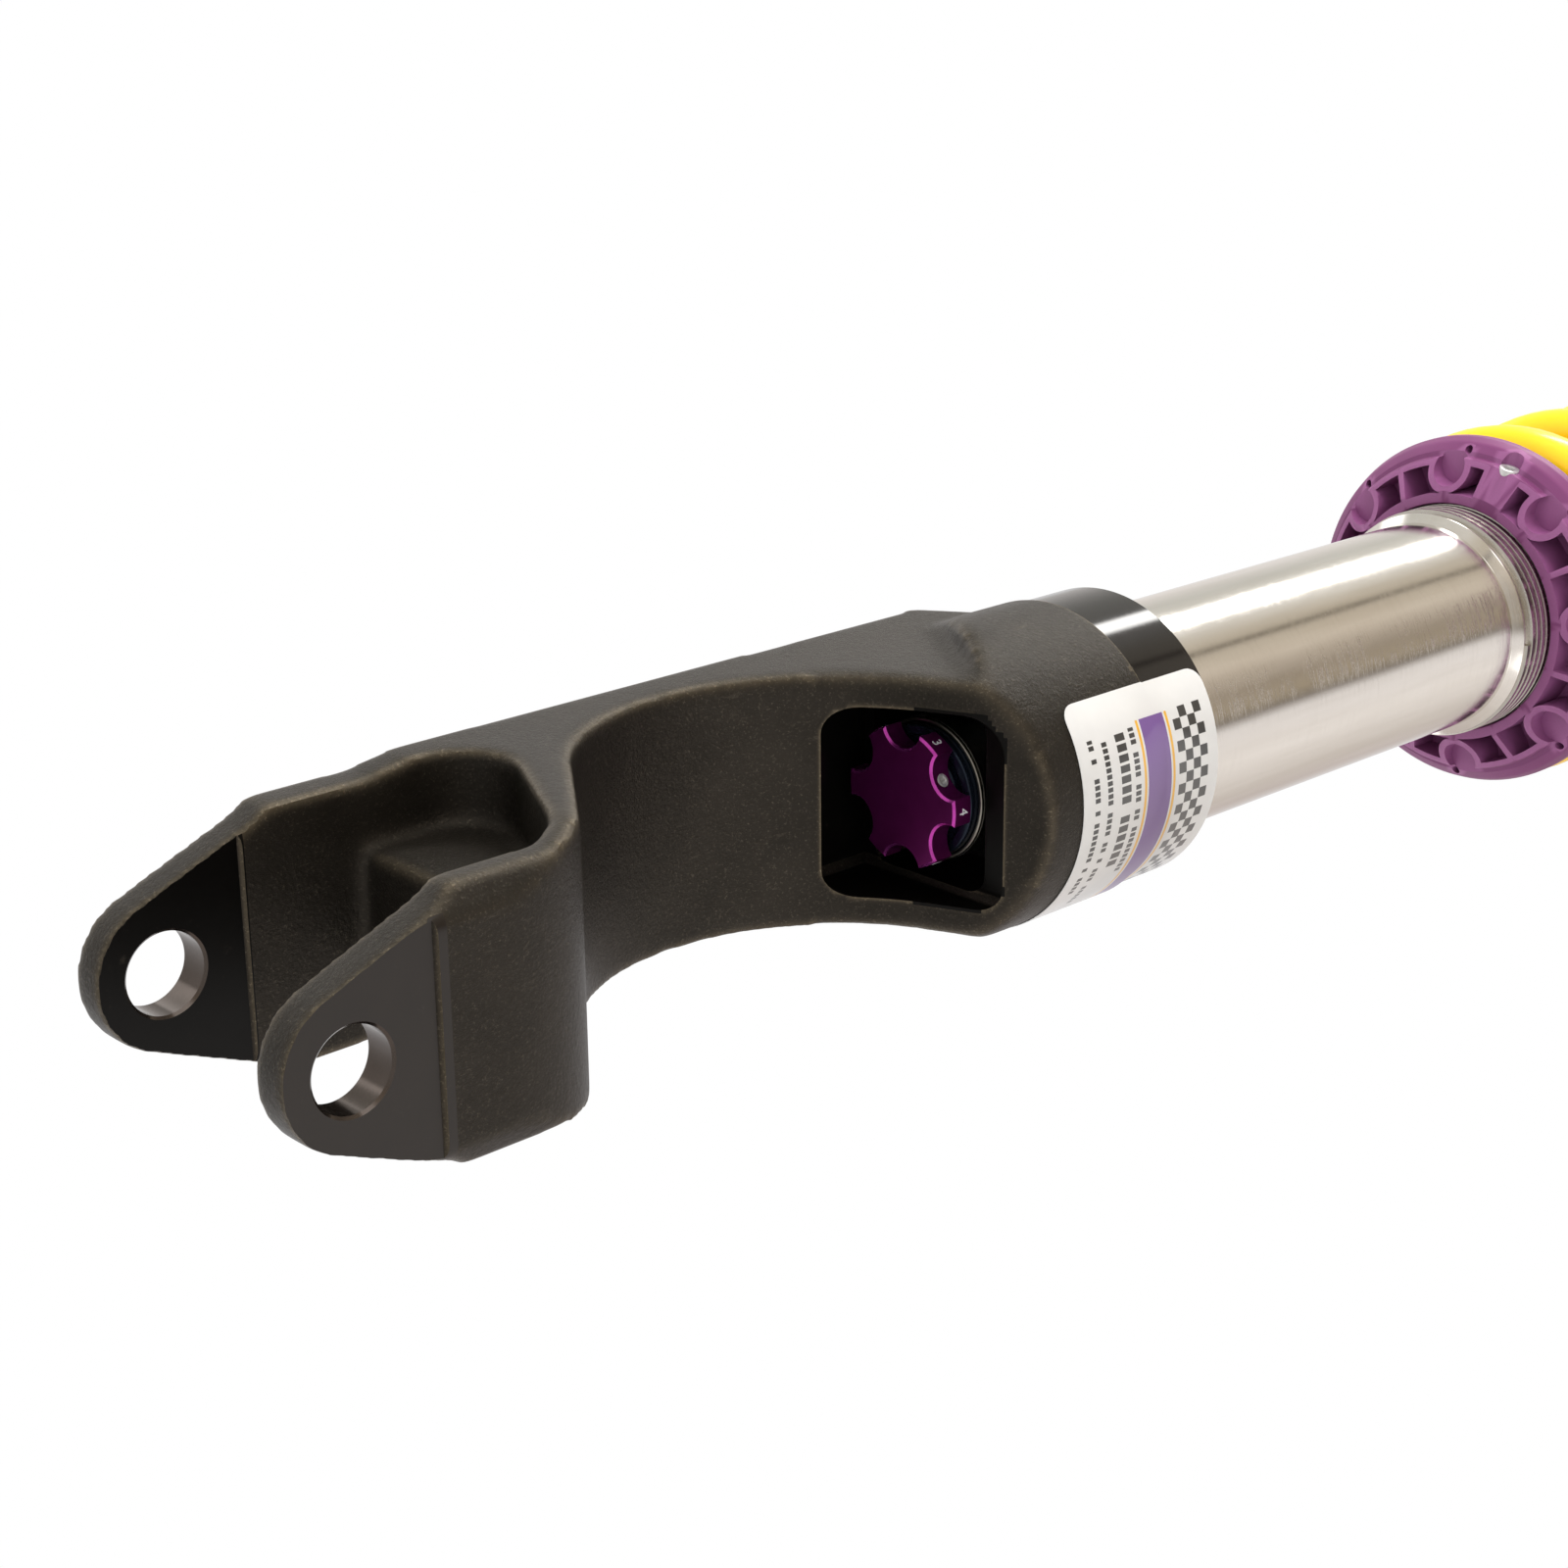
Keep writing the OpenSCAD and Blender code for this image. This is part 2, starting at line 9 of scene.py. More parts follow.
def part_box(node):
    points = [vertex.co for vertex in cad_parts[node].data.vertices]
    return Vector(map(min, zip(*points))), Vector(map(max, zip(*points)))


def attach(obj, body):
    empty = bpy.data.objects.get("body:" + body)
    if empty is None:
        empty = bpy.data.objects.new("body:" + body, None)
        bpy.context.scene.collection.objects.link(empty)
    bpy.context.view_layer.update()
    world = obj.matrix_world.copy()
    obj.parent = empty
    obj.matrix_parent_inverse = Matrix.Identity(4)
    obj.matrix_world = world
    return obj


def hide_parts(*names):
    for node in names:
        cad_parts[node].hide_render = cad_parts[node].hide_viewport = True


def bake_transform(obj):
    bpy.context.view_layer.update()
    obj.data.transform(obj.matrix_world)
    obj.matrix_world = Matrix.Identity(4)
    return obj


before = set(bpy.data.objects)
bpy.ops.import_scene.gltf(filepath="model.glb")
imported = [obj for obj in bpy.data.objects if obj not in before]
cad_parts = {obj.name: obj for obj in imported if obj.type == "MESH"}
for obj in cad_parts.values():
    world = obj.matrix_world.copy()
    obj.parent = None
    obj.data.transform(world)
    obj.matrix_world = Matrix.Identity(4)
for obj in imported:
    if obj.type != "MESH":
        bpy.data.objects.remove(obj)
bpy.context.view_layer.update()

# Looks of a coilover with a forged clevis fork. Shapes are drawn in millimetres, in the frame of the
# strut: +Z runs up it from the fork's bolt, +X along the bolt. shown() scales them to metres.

MM = 0.001


def low(node):
    """The lowest corner of a CAD node's box, in millimetres."""
    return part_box(node)[0] / MM


def high(node):
    """The highest corner of a CAD node's box, in millimetres."""
    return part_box(node)[1] / MM


# ---------------------------------------------------------------------------- shapes

def arc(x, y, r, start, end, steps=12):
    """Points of an arc about (x, y), between two angles in degrees."""
    turns = [radians(start + (end - start) * i / steps) for i in range(steps + 1)]
    return [(x + r * cos(a), y + r * sin(a)) for a in turns]


def rounded(corners, steps=4):
    """A closed outline as 2-D points. A corner (x, y, r) is rounded to the radius r."""
    points = []
    for i, (x, y, *radius) in enumerate(corners):
        here = Vector((x, y))
        if not radius:
            points.append(here)
            continue
        before = Vector(corners[i - 1][:2]) - here
        after = Vector(corners[(i + 1) % len(corners)][:2]) - here
        half = before.angle(after) / 2
        reach = min(radius[0] / tan(half), 0.48 * before.length, 0.48 * after.length)
        r = reach * tan(half)
        centre = here + (before.normalized() + after.normalized()).normalized() * (r / sin(half))
        start = here + before.normalized() * reach - centre
        end = here + after.normalized() * reach - centre
        first = atan2(start.y, start.x)
        sweep = (atan2(end.y, end.x) - first + pi) % tau - pi
        for k in range(steps + 1):
            a = first + sweep * k / steps
            points.append(centre + Vector((cos(a), sin(a))) * r)
    return points


def tidy(bm):
    """Merges doubles, drops loose edges and points every face outwards."""
    bmesh.ops.remove_doubles(bm, verts=bm.verts, dist=0.0005)
    loose = [e for e in bm.edges if not e.link_faces]
    bmesh.ops.delete(bm, geom=loose, context="EDGES")
    bmesh.ops.recalc_face_normals(bm, faces=bm.faces)
    return bm


def turned(corners, steps=96):
    """A solid turned about the strut's axis from a closed outline of (radius, height, fillet)."""
    bm = bmesh.new()
    verts = [bm.verts.new((r, 0, z)) for r, z in rounded(corners)]
    edges = [bm.edges.new(pair) for pair in zip(verts, verts[1:] + verts[:1])]
    bmesh.ops.spin(bm, geom=verts + edges, cent=(0, 0, 0), axis=(0, 0, 1), angle=tau, steps=steps,
                   use_merge=True)
    return tidy(bm)


def collar(r_in, r_out, bottom, top, fillet=0.3, steps=96):
    """A ring with softened edges."""
    return turned([(r_in, bottom, fillet), (r_out, bottom, fillet), (r_out, top, fillet),
                   (r_in, top, fillet)], steps)


def prism(corners, bottom, top, axis="Z", steps=6):
    """A solid with a rounded outline, drawn across an axis and carried from bottom to top along it."""
    across = {"X": lambda u, v: (bottom, u, v), "Y": lambda u, v: (u, bottom, v),
              "Z": lambda u, v: (u, v, bottom)}[axis]
    rise = {"X": (1, 0, 0), "Y": (0, 1, 0), "Z": (0, 0, 1)}[axis]
    bm = bmesh.new()
    face = bm.faces.new([bm.verts.new(across(u, v)) for u, v in rounded(corners, steps)])
    lid = bmesh.ops.extrude_face_region(bm, geom=[face], use_keep_orig=True)
    moved = [v for v in lid["geom"] if isinstance(v, bmesh.types.BMVert)]
    bmesh.ops.translate(bm, vec=Vector(rise) * (top - bottom), verts=moved)
    return tidy(bm)


def block(x0, x1, y0, y1, z0, z1, fillet=None):
    """A box between two corners, with rounded upright edges if a fillet is given."""
    radius = [] if fillet is None else [fillet]
    corners = [(x0, y0, *radius), (x1, y0, *radius), (x1, y1, *radius), (x0, y1, *radius)]
    return prism(corners, z0, z1)


def rod(r, length, sides=48):
    """A plain round bar along +Z from the origin, used as a cutter."""
    bm = bmesh.new()
    bmesh.ops.create_cone(bm, cap_ends=True, segments=sides, radius1=r, radius2=r, depth=length,
                          matrix=Matrix.Translation((0, 0, length / 2)))
    return bm


def placed(bm, x=0, z=0, turn=0, tip=0):
    """Tips a shape from +Z towards +X, moves it, and then turns it about the strut. Degrees."""
    bmesh.ops.rotate(bm, cent=(0, 0, 0), matrix=Matrix.Rotation(radians(tip), 3, "Y"), verts=bm.verts)
    bmesh.ops.translate(bm, vec=(x, 0, z), verts=bm.verts)
    bmesh.ops.rotate(bm, cent=(0, 0, 0), matrix=Matrix.Rotation(radians(turn), 3, "Z"), verts=bm.verts)
    return bm


def together(*shapes):
    """One bmesh that holds several separate ones."""
    whole = bmesh.new()
    for bm in shapes:
        mesh = bpy.data.meshes.new("part")
        bm.to_mesh(mesh)
        bm.free()
        whole.from_mesh(mesh)
        bpy.data.meshes.remove(mesh)
    return whole


def blank(bm):
    """A throwaway object for a modifier to work on."""
    mesh = bpy.data.meshes.new("blank")
    bm.to_mesh(mesh)
    bm.free()
    obj = bpy.data.objects.new("blank", mesh)
    bpy.context.scene.collection.objects.link(obj)
    return obj


def worked(obj, *tools):
    """The shape after the object's modifiers, with the throwaway objects cleared away."""
    bpy.context.view_layer.update()
    evaluated = obj.evaluated_get(bpy.context.evaluated_depsgraph_get())
    bm = bmesh.new()
    bm.from_mesh(evaluated.to_mesh())
    evaluated.to_mesh_clear()
    for used in (obj, *tools):
        mesh = used.data
        bpy.data.objects.remove(used)
        bpy.data.meshes.remove(mesh)
    return bm


def cut(bm, tool, operation="DIFFERENCE"):
    """One shape less another, or what two shapes share, or both in one."""
    obj, cutter = blank(bm), blank(tool)
    boolean = obj.modifiers.new("cut", "BOOLEAN")
    boolean.operation = operation
    boolean.solver = "EXACT"
    boolean.object = cutter
    return worked(obj, cutter)


def remeshed(bm, voxel):
    """Overlapping shapes as one skin, with points about a voxel apart."""
    obj = blank(bm)
    remesh = obj.modifiers.new("forge", "REMESH")
    remesh.mode = "VOXEL"
    remesh.voxel_size = voxel
    return worked(obj)


def eased(bm, width, segments=2, angle=30):
    """Every edge sharper than the angle gets a small bevel."""
    obj = blank(bm)
    bevel = obj.modifiers.new("ease", "BEVEL")
    bevel.width = width
    bevel.segments = segments
    bevel.limit_method = "ANGLE"
    bevel.angle_limit = radians(angle)
    bevel.harden_normals = False
    return worked(obj)


def drawn(curve):
    """The closed shape of a text or of a curve with a bevel."""
    holder = bpy.data.objects.new("curve", curve)
    bpy.context.scene.collection.objects.link(holder)
    bpy.context.view_layer.update()
    mesh = bpy.data.meshes.new_from_object(holder.evaluated_get(bpy.context.evaluated_depsgraph_get()))
    bpy.data.objects.remove(holder)
    bm = bmesh.new()
    bm.from_mesh(mesh)
    bpy.data.meshes.remove(mesh)
    return tidy(bm)


def shown(name, bm, finish, crease):
    """A visible object in metres from a shape in millimetres, shaded smooth up to the crease angle."""
    bmesh.ops.scale(bm, vec=(MM, MM, MM), verts=bm.verts)
    mesh = bpy.data.meshes.new(name)
    bm.to_mesh(mesh)
    bm.free()
    mesh.polygons.foreach_set("use_smooth", [True] * len(mesh.polygons))
    mesh.set_sharp_from_angle(angle=radians(crease))
    mesh.materials.append(finish)
    obj = bpy.data.objects.new(name, mesh)
    bpy.context.scene.collection.objects.link(obj)
    return obj


def piece(name, bm, body, finish, replaces=(), crease=38):
    """Hands a finished shape to its body, with its finish and the nodes that it stands for."""
    obj = shown(name, bm, finish, crease)
    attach(obj, body)
    if replaces:
        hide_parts(*replaces)
    return obj


# ---------------------------------------------------------------------------- finishes

class Signal:
    """A shader socket that takes part in arithmetic."""

    def __init__(self, finish, socket):
        self.finish = finish
        self.socket = socket

    def math(self, operation, a, b=0.0):
        return self.finish.node("ShaderNodeMath", {"operation": operation}, {0: a, 1: b})

    def __add__(self, other):
        return self.math("ADD", self, other)

    __radd__ = __add__

    def __mul__(self, other):
        return self.math("MULTIPLY", self, other)

    __rmul__ = __mul__

    def __sub__(self, other):
        return self.math("SUBTRACT", self, other)

    def __rsub__(self, other):
        return self.math("SUBTRACT", other, self)

    def __truediv__(self, other):
        return self.math("DIVIDE", self, other)

    def __pow__(self, other):
        return self.math("POWER", self, other)

    def __lt__(self, other):
        return self.math("LESS_THAN", self, other)

    def __gt__(self, other):
        return self.math("GREATER_THAN", self, other)

    def floor(self):
        return self.math("FLOOR", self)

    def fract(self):
        return self.math("FRACT", self)

    def smooth(self, start, end):
        """0 below start, 1 above end, with soft ends."""
        settings = {"interpolation_type": "SMOOTHSTEP"}
        values = {"Value": self, "From Min": start, "From Max": end, "To Min": 0.0, "To Max": 1.0}
        return self.finish.node("ShaderNodeMapRange", settings, values)


class Finish:
    """A procedural finish: a shader and the nodes that vary it. Given a world, it paints that instead."""

    def __init__(self, name, world=None):
        owner = world or bpy.data.materials.new(name)
        owner.use_nodes = True
        self.owner = owner
        self.tree = owner.node_tree
        self.shader = None if world else self.tree.nodes["Principled BSDF"]

    def node(self, kind, settings=None, values=None, output=0):
        """Any node, from its type, its settings, and the numbers or links of its sockets."""
        made = self.tree.nodes.new(kind)
        for key, value in (settings or {}).items():
            if key == "stops":
                ramp = made.color_ramp
                while len(ramp.elements) < len(value):
                    ramp.elements.new(0.5)
                for element, (place, colour) in zip(ramp.elements, value):
                    element.position = place
                    element.color = (*colour, 1)
            else:
                setattr(made, key, value)
        for key, value in (values or {}).items():
            self.feed(made.inputs[key], value)
        return Signal(self, made.outputs[output])

    def feed(self, socket, value):
        """Links a signal to a socket, or sets the socket's own value."""
        if isinstance(value, Signal):
            self.tree.links.new(value.socket, socket)
        elif isinstance(value, (tuple, list)) and socket.type == "RGBA":
            socket.default_value = (*value[:3], 1)
        else:
            socket.default_value = value

    def place(self, scale=(1, 1, 1)):
        """Object coordinates in millimetres, stretched by scale."""
        where = self.node("ShaderNodeTexCoord", output=3)
        return self.node("ShaderNodeMapping", {}, {"Vector": where, "Scale": tuple(s / MM for s in scale)})

    def noise(self, size, detail=3.0, rough=0.55, stretch=(1, 1, 1), warp=0.0):
        """Noise from 0 to 1 whose blobs are about size millimetres across."""
        scale = tuple(1 / (size * s) for s in stretch)
        return self.node("ShaderNodeTexNoise", {}, {"Vector": self.place(scale), "Scale": 1.0,
                         "Detail": detail, "Roughness": rough, "Distortion": warp})

    def cells(self, size):
        """Distance to the middle of cells about size millimetres across."""
        return self.node("ShaderNodeTexVoronoi", {}, {"Vector": self.place((1 / size,) * 3), "Scale": 1.0})

    def part(self, vector, axis):
        """One number out of a vector."""
        return self.node("ShaderNodeSeparateXYZ", {}, {0: vector}, output="XYZ".index(axis))

    def coordinate(self, axis):
        """One Object coordinate, in millimetres."""
        return self.part(self.place(), axis)

    def bearing(self, x, y):
        """The angle of a direction round the strut, in radians."""
        return self.node("ShaderNodeMath", {"operation": "ARCTAN2"}, {0: y, 1: x})

    def mix(self, factor, first, second):
        """A colour between two colours."""
        return self.node("ShaderNodeMix", {"data_type": "RGBA"}, {0: factor, 6: first, 7: second}, output=2)

    def edges(self, start, end):
        """1 on convex edges, where handling wears a finish bright; on the forged skin it places painted
        highlights.
        """
        pointed = self.node("ShaderNodeNewGeometry", output=7)
        return pointed.smooth(start, end)

    def bump(self, height, depth, normal=None, strength=1.0):
        """A normal from a height of 0 to 1 that stands for depth millimetres."""
        values = {"Height": height, "Distance": depth * MM, "Strength": strength}
        if normal is not None:
            values["Normal"] = normal
        return self.node("ShaderNodeBump", {}, values)

    def set(self, **values):
        """Feeds the shader. An underscore in a name stands for a space."""
        for key, value in values.items():
            self.feed(self.shader.inputs[key.replace("_", " ")], value)
        return self.owner


def forged_skin():
    """Shot-blasted forging under a nearly black hard anodised layer, with painted bronze highlights on its
    edges.
    """
    f = Finish("forged_skin")
    grain = f.noise(0.55, 4.0, 0.72)
    pits = f.cells(1.1)
    cloud = f.noise(16.0, 3.0, 0.6)
    stain = f.noise(5.0, 4.0, 0.65, warp=0.4)
    scuff = f.noise(1.6, 4.0, 0.75, stretch=(1, 1, 5), warp=0.5).smooth(0.60, 0.74)
    edge = f.edges(0.503, 0.55)
    speck = grain.smooth(0.55, 0.70) * (0.25 + 0.75 * stain)
    dark = f.mix(cloud, (0.016, 0.0137, 0.0105), (0.040, 0.034, 0.027))
    colour = f.mix(stain.smooth(0.55, 0.85) * 0.25, dark, (0.066, 0.055, 0.042))
    colour = f.mix(speck * 0.38, colour, (0.23, 0.198, 0.152))
    colour = f.mix(scuff * 0.15, colour, (0.20, 0.17, 0.13))
    # Painted highlight: convex edges lightened to bronze, most on the grain specks, standing in for glints
    colour = f.mix(edge * (0.24 + 0.7 * speck), colour, (0.36, 0.29, 0.19))
    rough = 0.45 - 0.20 * grain + 0.08 * cloud - 0.05 * edge
    coarse = f.bump(f.noise(2.6, 2.0, 0.5), 0.16, strength=0.6)
    skin = f.bump(grain - 0.3 * pits, 0.22, coarse, 0.8)
    return f.set(Base_Color=colour, Metallic=0.75, Roughness=rough, Normal=skin)


def machined_black(name, deep, light, shine, rough, gloss=0.5):
    """Milled and bored faces of the fork: black anodised with faint tool marks. A near-black copy paints
    shade into the slot and the window.
    """
    f = Finish(name)
    marks = f.noise(0.5, 3.0, 0.6, stretch=(1, 14, 1))
    cloud = f.noise(9.0, 2.0)
    rub = f.noise(3.0, 4.0, 0.7, warp=0.6).smooth(0.62, 0.78)
    colour = f.mix(cloud, deep, light)
    colour = f.mix(rub * 0.2, colour, (0.07, 0.058, 0.045))
    return f.set(Base_Color=colour, Metallic=shine, Roughness=rough + 0.10 * marks + 0.08 * rub,
                 Specular_IOR_Level=gloss, Normal=f.bump(marks, 0.012, strength=0.5))


def turned_black():
    """The turned band at the socket's top: polished black with fine rings."""
    f = Finish("turned_black")
    rings = f.noise(0.35, 2.0, 0.6, stretch=(60, 60, 1))
    cloud = f.noise(8.0, 2.0)
    rub = f.noise(2.0, 4.0, 0.7, stretch=(3, 3, 1)).smooth(0.6, 0.8)
    colour = f.mix(cloud, (0.007, 0.006, 0.0055), (0.013, 0.011, 0.010))
    colour = f.mix(rub * 0.3, colour, (0.06, 0.05, 0.04))
    return f.set(Base_Color=colour, Metallic=0.1, Roughness=0.07 + 0.05 * rings + 0.1 * rub,
                 Normal=f.bump(rings, 0.004, strength=0.3))


def polished_stainless():
    """Polished tube: faint lengthwise haze, and short scratches across it along one handled stripe."""
    f = Finish("polished_stainless")
    haze = f.noise(3.0, 3.0, 0.5, stretch=(1, 1, 12))
    turn = f.bearing(f.coordinate("X"), f.coordinate("Y"))
    stripe = turn.smooth(radians(-36), radians(-28)) * (1 - turn.smooth(radians(-17), radians(-11)))
    across = f.noise(0.42, 4.0, 0.75, stretch=(16, 16, 1)).smooth(0.47, 0.70)
    patch = f.noise(9.0, 3.0, 0.6, stretch=(1, 1, 1.6)).smooth(0.28, 0.52)
    along = f.noise(0.3, 2.0, 0.6, stretch=(1, 1, 60))
    scratches = across * patch * (0.12 + 0.88 * stripe)
    colour = f.mix(haze, (0.70, 0.665, 0.62), (0.80, 0.775, 0.745))
    colour = f.mix(scratches * 0.5, colour, (0.40, 0.36, 0.29))
    rough = 0.11 + 0.04 * haze + 0.22 * scratches + 0.02 * along
    fine = f.bump(along, 0.003, strength=0.3)
    return f.set(Base_Color=colour, Metallic=1.0, Roughness=rough,
                 Normal=f.bump(scratches, 0.03, fine, 1.0))


def rolled_thread():
    """Bright rolled thread, hazier than the polished tube."""
    f = Finish("rolled_thread")
    haze = f.noise(1.2, 3.0, 0.6, stretch=(3, 3, 1))
    colour = f.mix(haze, (0.58, 0.55, 0.50), (0.78, 0.75, 0.71))
    return f.set(Base_Color=colour, Metallic=1.0, Roughness=0.20 + 0.12 * haze,
                 Normal=f.bump(haze, 0.01, strength=0.4))


def purple_satin():
    """Satin purple of the perch, rubbed lighter along its edges."""
    f = Finish("purple_satin")
    grain = f.noise(0.22, 3.0, 0.6)
    cloud = f.noise(12.0, 3.0, 0.5)
    colour = f.mix(cloud, (0.165, 0.038, 0.125), (0.215, 0.052, 0.165))
    worn = f.edges(0.505, 0.60) * (0.3 + 0.5 * grain)
    colour = f.mix(worn, colour, (0.36, 0.13, 0.30))
    return f.set(Base_Color=colour, Metallic=0.15, Roughness=0.40 + 0.12 * grain,
                 Normal=f.bump(grain, 0.02, strength=0.45))


def purple_anodised():
    """Turned and dyed knob: deep purple with cut rings on its face."""
    f = Finish("purple_anodised")
    x, y = f.coordinate("X"), f.coordinate("Y")
    radius = (x * x + y * y) ** 0.5
    ring_turns = 42.0
    rings = f.node("ShaderNodeMath", {"operation": "SINE"}, {0: radius * ring_turns})
    cloud = f.noise(4.0, 2.0)
    colour = f.mix(cloud, (0.150, 0.008, 0.105), (0.200, 0.014, 0.145))
    return f.set(Base_Color=colour, Metallic=0.85, Roughness=0.27 + 0.06 * cloud,
                 Normal=f.bump(rings * 0.5 + 0.5, 0.004, strength=0.4))


def bright_cut():
    """Chamfers cut through the dye and polished."""
    f = Finish("bright_cut")
    streak = f.noise(0.5, 2.0, 0.5, stretch=(3, 3, 1))
    colour = f.mix(streak, (0.50, 0.04, 0.40), (0.66, 0.10, 0.54))
    return f.set(Base_Color=colour, Metallic=0.9, Roughness=0.2 + 0.08 * streak)


def powder_coat(name, first, second, rough=0.30):
    """Semi-gloss powder coat with a slight orange peel."""
    f = Finish(name)
    peel = f.noise(1.5, 2.0, 0.45)
    cloud = f.noise(20.0, 2.0)
    colour = f.mix(cloud, first, second)
    return f.set(Base_Color=colour, Metallic=0.0, Roughness=rough + 0.10 * peel,
                 Normal=f.bump(peel, 0.05, strength=0.45), Coat_Weight=0.35, Coat_Roughness=0.12)


def metal(name, first, second, rough=0.28, size=0.4, stretch=(1, 1, 1), metallic=1.0, depth=0.01):
    """Bare or plated metal: colour clouds, roughness and tool marks from one stretched noise."""
    f = Finish(name)
    marks = f.noise(size, 3.0, 0.6, stretch=stretch)
    cloud = f.noise(size * 18, 3.0, 0.55)
    worn = f.edges(0.505, 0.60) * 0.35
    colour = f.mix(cloud, first, second)
    colour = f.mix(worn, colour, tuple(min(1, c * 1.5 + 0.06) for c in second))
    return f.set(Base_Color=colour, Metallic=metallic, Roughness=rough + 0.14 * marks - 0.05 * cloud,
                 Normal=f.bump(marks, depth, strength=0.5))


def moulded(name, first, second, rough=0.5, grain_size=0.3, depth=0.02):
    """Moulded plastic, rubber or foam with its own grain and a little dust."""
    f = Finish(name)
    grain = f.noise(grain_size, 3.0, 0.6)
    cloud = f.noise(grain_size * 40, 3.0, 0.6)
    colour = f.mix(cloud, first, second)
    dust = cloud.smooth(0.6, 0.85) * 0.10
    colour = f.mix(dust, colour, (0.35, 0.33, 0.30))
    return f.set(Base_Color=colour, Metallic=0.0, Roughness=rough + 0.15 * grain + dust,
                 Normal=f.bump(grain, depth, strength=0.6))


FORGED = forged_skin()
MACHINED = machined_black("milled_side", (0.009, 0.006, 0.004), (0.015, 0.010, 0.007), 0.15, 0.26)
# Painted shade: a near-black, dull copy of the milled finish for the faces inside the clevis slot and the
# window, where shade falls
SLOT_PAINTED_SHADE = machined_black("milled_slot_painted_shade", (0.0015, 0.0013, 0.0012), (0.003, 0.0025, 0.002), 0.0, 0.30, 0.15)
BORE = machined_black("reamed_bore", (0.07, 0.058, 0.050), (0.11, 0.09, 0.08), 0.9, 0.08)
BAND = turned_black()
STAINLESS = polished_stainless()
THREAD = rolled_thread()
PERCH = purple_satin()
ANODISED = purple_anodised()
BRIGHT_CUT = bright_cut()
YELLOW = powder_coat("yellow_powder_coat", (0.96, 0.57, 0.001), (1.0, 0.63, 0.003))
BLUE_BLACK = metal("blue_black_alloy", (0.008, 0.012, 0.024), (0.016, 0.024, 0.042), 0.22,
                   0.3, (30, 30, 1), 0.8)
RING = metal("ring_steel", (0.26, 0.25, 0.22), (0.38, 0.36, 0.32), 0.3, 0.3, (8, 8, 1))
SCREW = metal("bright_screw", (0.66, 0.66, 0.65), (0.78, 0.78, 0.77), 0.3, 0.3, metallic=0.7)
ALLOY = metal("turned_alloy", (0.60, 0.60, 0.60), (0.72, 0.72, 0.71), 0.26, 0.3, (20, 20, 1))
CHROME = metal("rod_chrome", (0.74, 0.75, 0.77), (0.80, 0.81, 0.83), 0.06, 0.25, (1, 1, 20), depth=0.002)
STEEL = metal("drawn_steel", (0.50, 0.50, 0.50), (0.62, 0.62, 0.61), 0.26, 0.3, (1, 1, 20))
SPRING_STEEL = metal("shim_steel", (0.45, 0.45, 0.46), (0.58, 0.58, 0.60), 0.24, 0.3, (6, 6, 1))
OXIDE = metal("dark_steel", (0.05, 0.05, 0.05), (0.09, 0.09, 0.09), 0.36, 0.3)
SINTER = metal("sintered_steel", (0.22, 0.20, 0.18), (0.34, 0.32, 0.29), 0.45, 0.12, metallic=0.9, depth=0.03)
BALL = metal("ball_steel", (0.72, 0.72, 0.74), (0.78, 0.78, 0.8), 0.06, 0.3, depth=0.001)
BRONZE = metal("bush_bronze", (0.42, 0.28, 0.12), (0.56, 0.38, 0.18), 0.3, 0.3)
ZINC = metal("zinc_steel", (0.62, 0.55, 0.34), (0.70, 0.58, 0.46), 0.26, 0.35)
CAST = metal("cast_alloy", (0.40, 0.40, 0.41), (0.54, 0.54, 0.55), 0.42, 0.35, metallic=0.9, depth=0.06)
BLACK_ALLOY = metal("black_alloy", (0.016, 0.016, 0.018), (0.03, 0.03, 0.034), 0.28, 0.3, (20, 20, 1), 0.7)
BLACK_PAINT = powder_coat("satin_black_paint", (0.012, 0.012, 0.013), (0.02, 0.02, 0.022), 0.36)
RUBBER = moulded("isolator_rubber", (0.012, 0.012, 0.012), (0.024, 0.023, 0.022), 0.55, 0.4, 0.03)
SEAL = moulded("seal_rubber", (0.01, 0.01, 0.01), (0.02, 0.02, 0.02), 0.38, 0.3, 0.01)
PLASTIC = moulded("black_plastic", (0.016, 0.016, 0.017), (0.028, 0.028, 0.03), 0.42, 0.35, 0.03)
NYLON = moulded("slip_nylon", (0.02, 0.02, 0.02), (0.035, 0.035, 0.035), 0.36, 0.4, 0.01)
NATURAL = moulded("pad_nylon", (0.74, 0.70, 0.60), (0.82, 0.79, 0.70), 0.35, 0.4, 0.01)
PTFE = moulded("band_ptfe", (0.09, 0.07, 0.05), (0.14, 0.11, 0.08), 0.35, 0.3, 0.01)
URETHANE = moulded("stop_urethane", (0.03, 0.03, 0.03), (0.05, 0.05, 0.05), 0.4, 0.4, 0.01)
FOAM = moulded("bump_foam", (0.62, 0.50, 0.25), (0.74, 0.62, 0.34), 0.6, 0.45, 0.08)


# ---------------------------------------------------------------------------- fork

BOLT_R = 7.5
EAR_IN = 23.5
EAR_OUT = 30.75
EAR_TOP = 16.0
NOSE_R = 14.2
NOSE_Z = 1.0
CLEVIS_HALF = 24.8
CLEVIS_SIDE = 31.6
NECK_HALF = 26.5
NECK_BACK = -31.3
SCOOP_R = 47.0
SCOOP = (27.0, 108.0)
SOCKET_R = 31.7
BAND_R = 31.0
SOCKET_TOP = high("fork_collar").z
BAND_Z = SOCKET_TOP - 18.7
TAPER_Z = 159.0
TUBE_R = high("base_cap").x
TUBE_FOOT = 176.0
WINDOW_Z = 138.5
WINDOW_HALF = 19.8
LEDGE_Z = 160.0
# Cutters and crossed outlines run this far to each side, past the fork
PAST = 40.0
# Places of the extra finishes on the fork, after its forged skin. The third is painted shade in the slot and
# the window
SIDE, RIM, PAINTED_SHADE_WALL, BORE_WALL = 1, 2, 3, 4


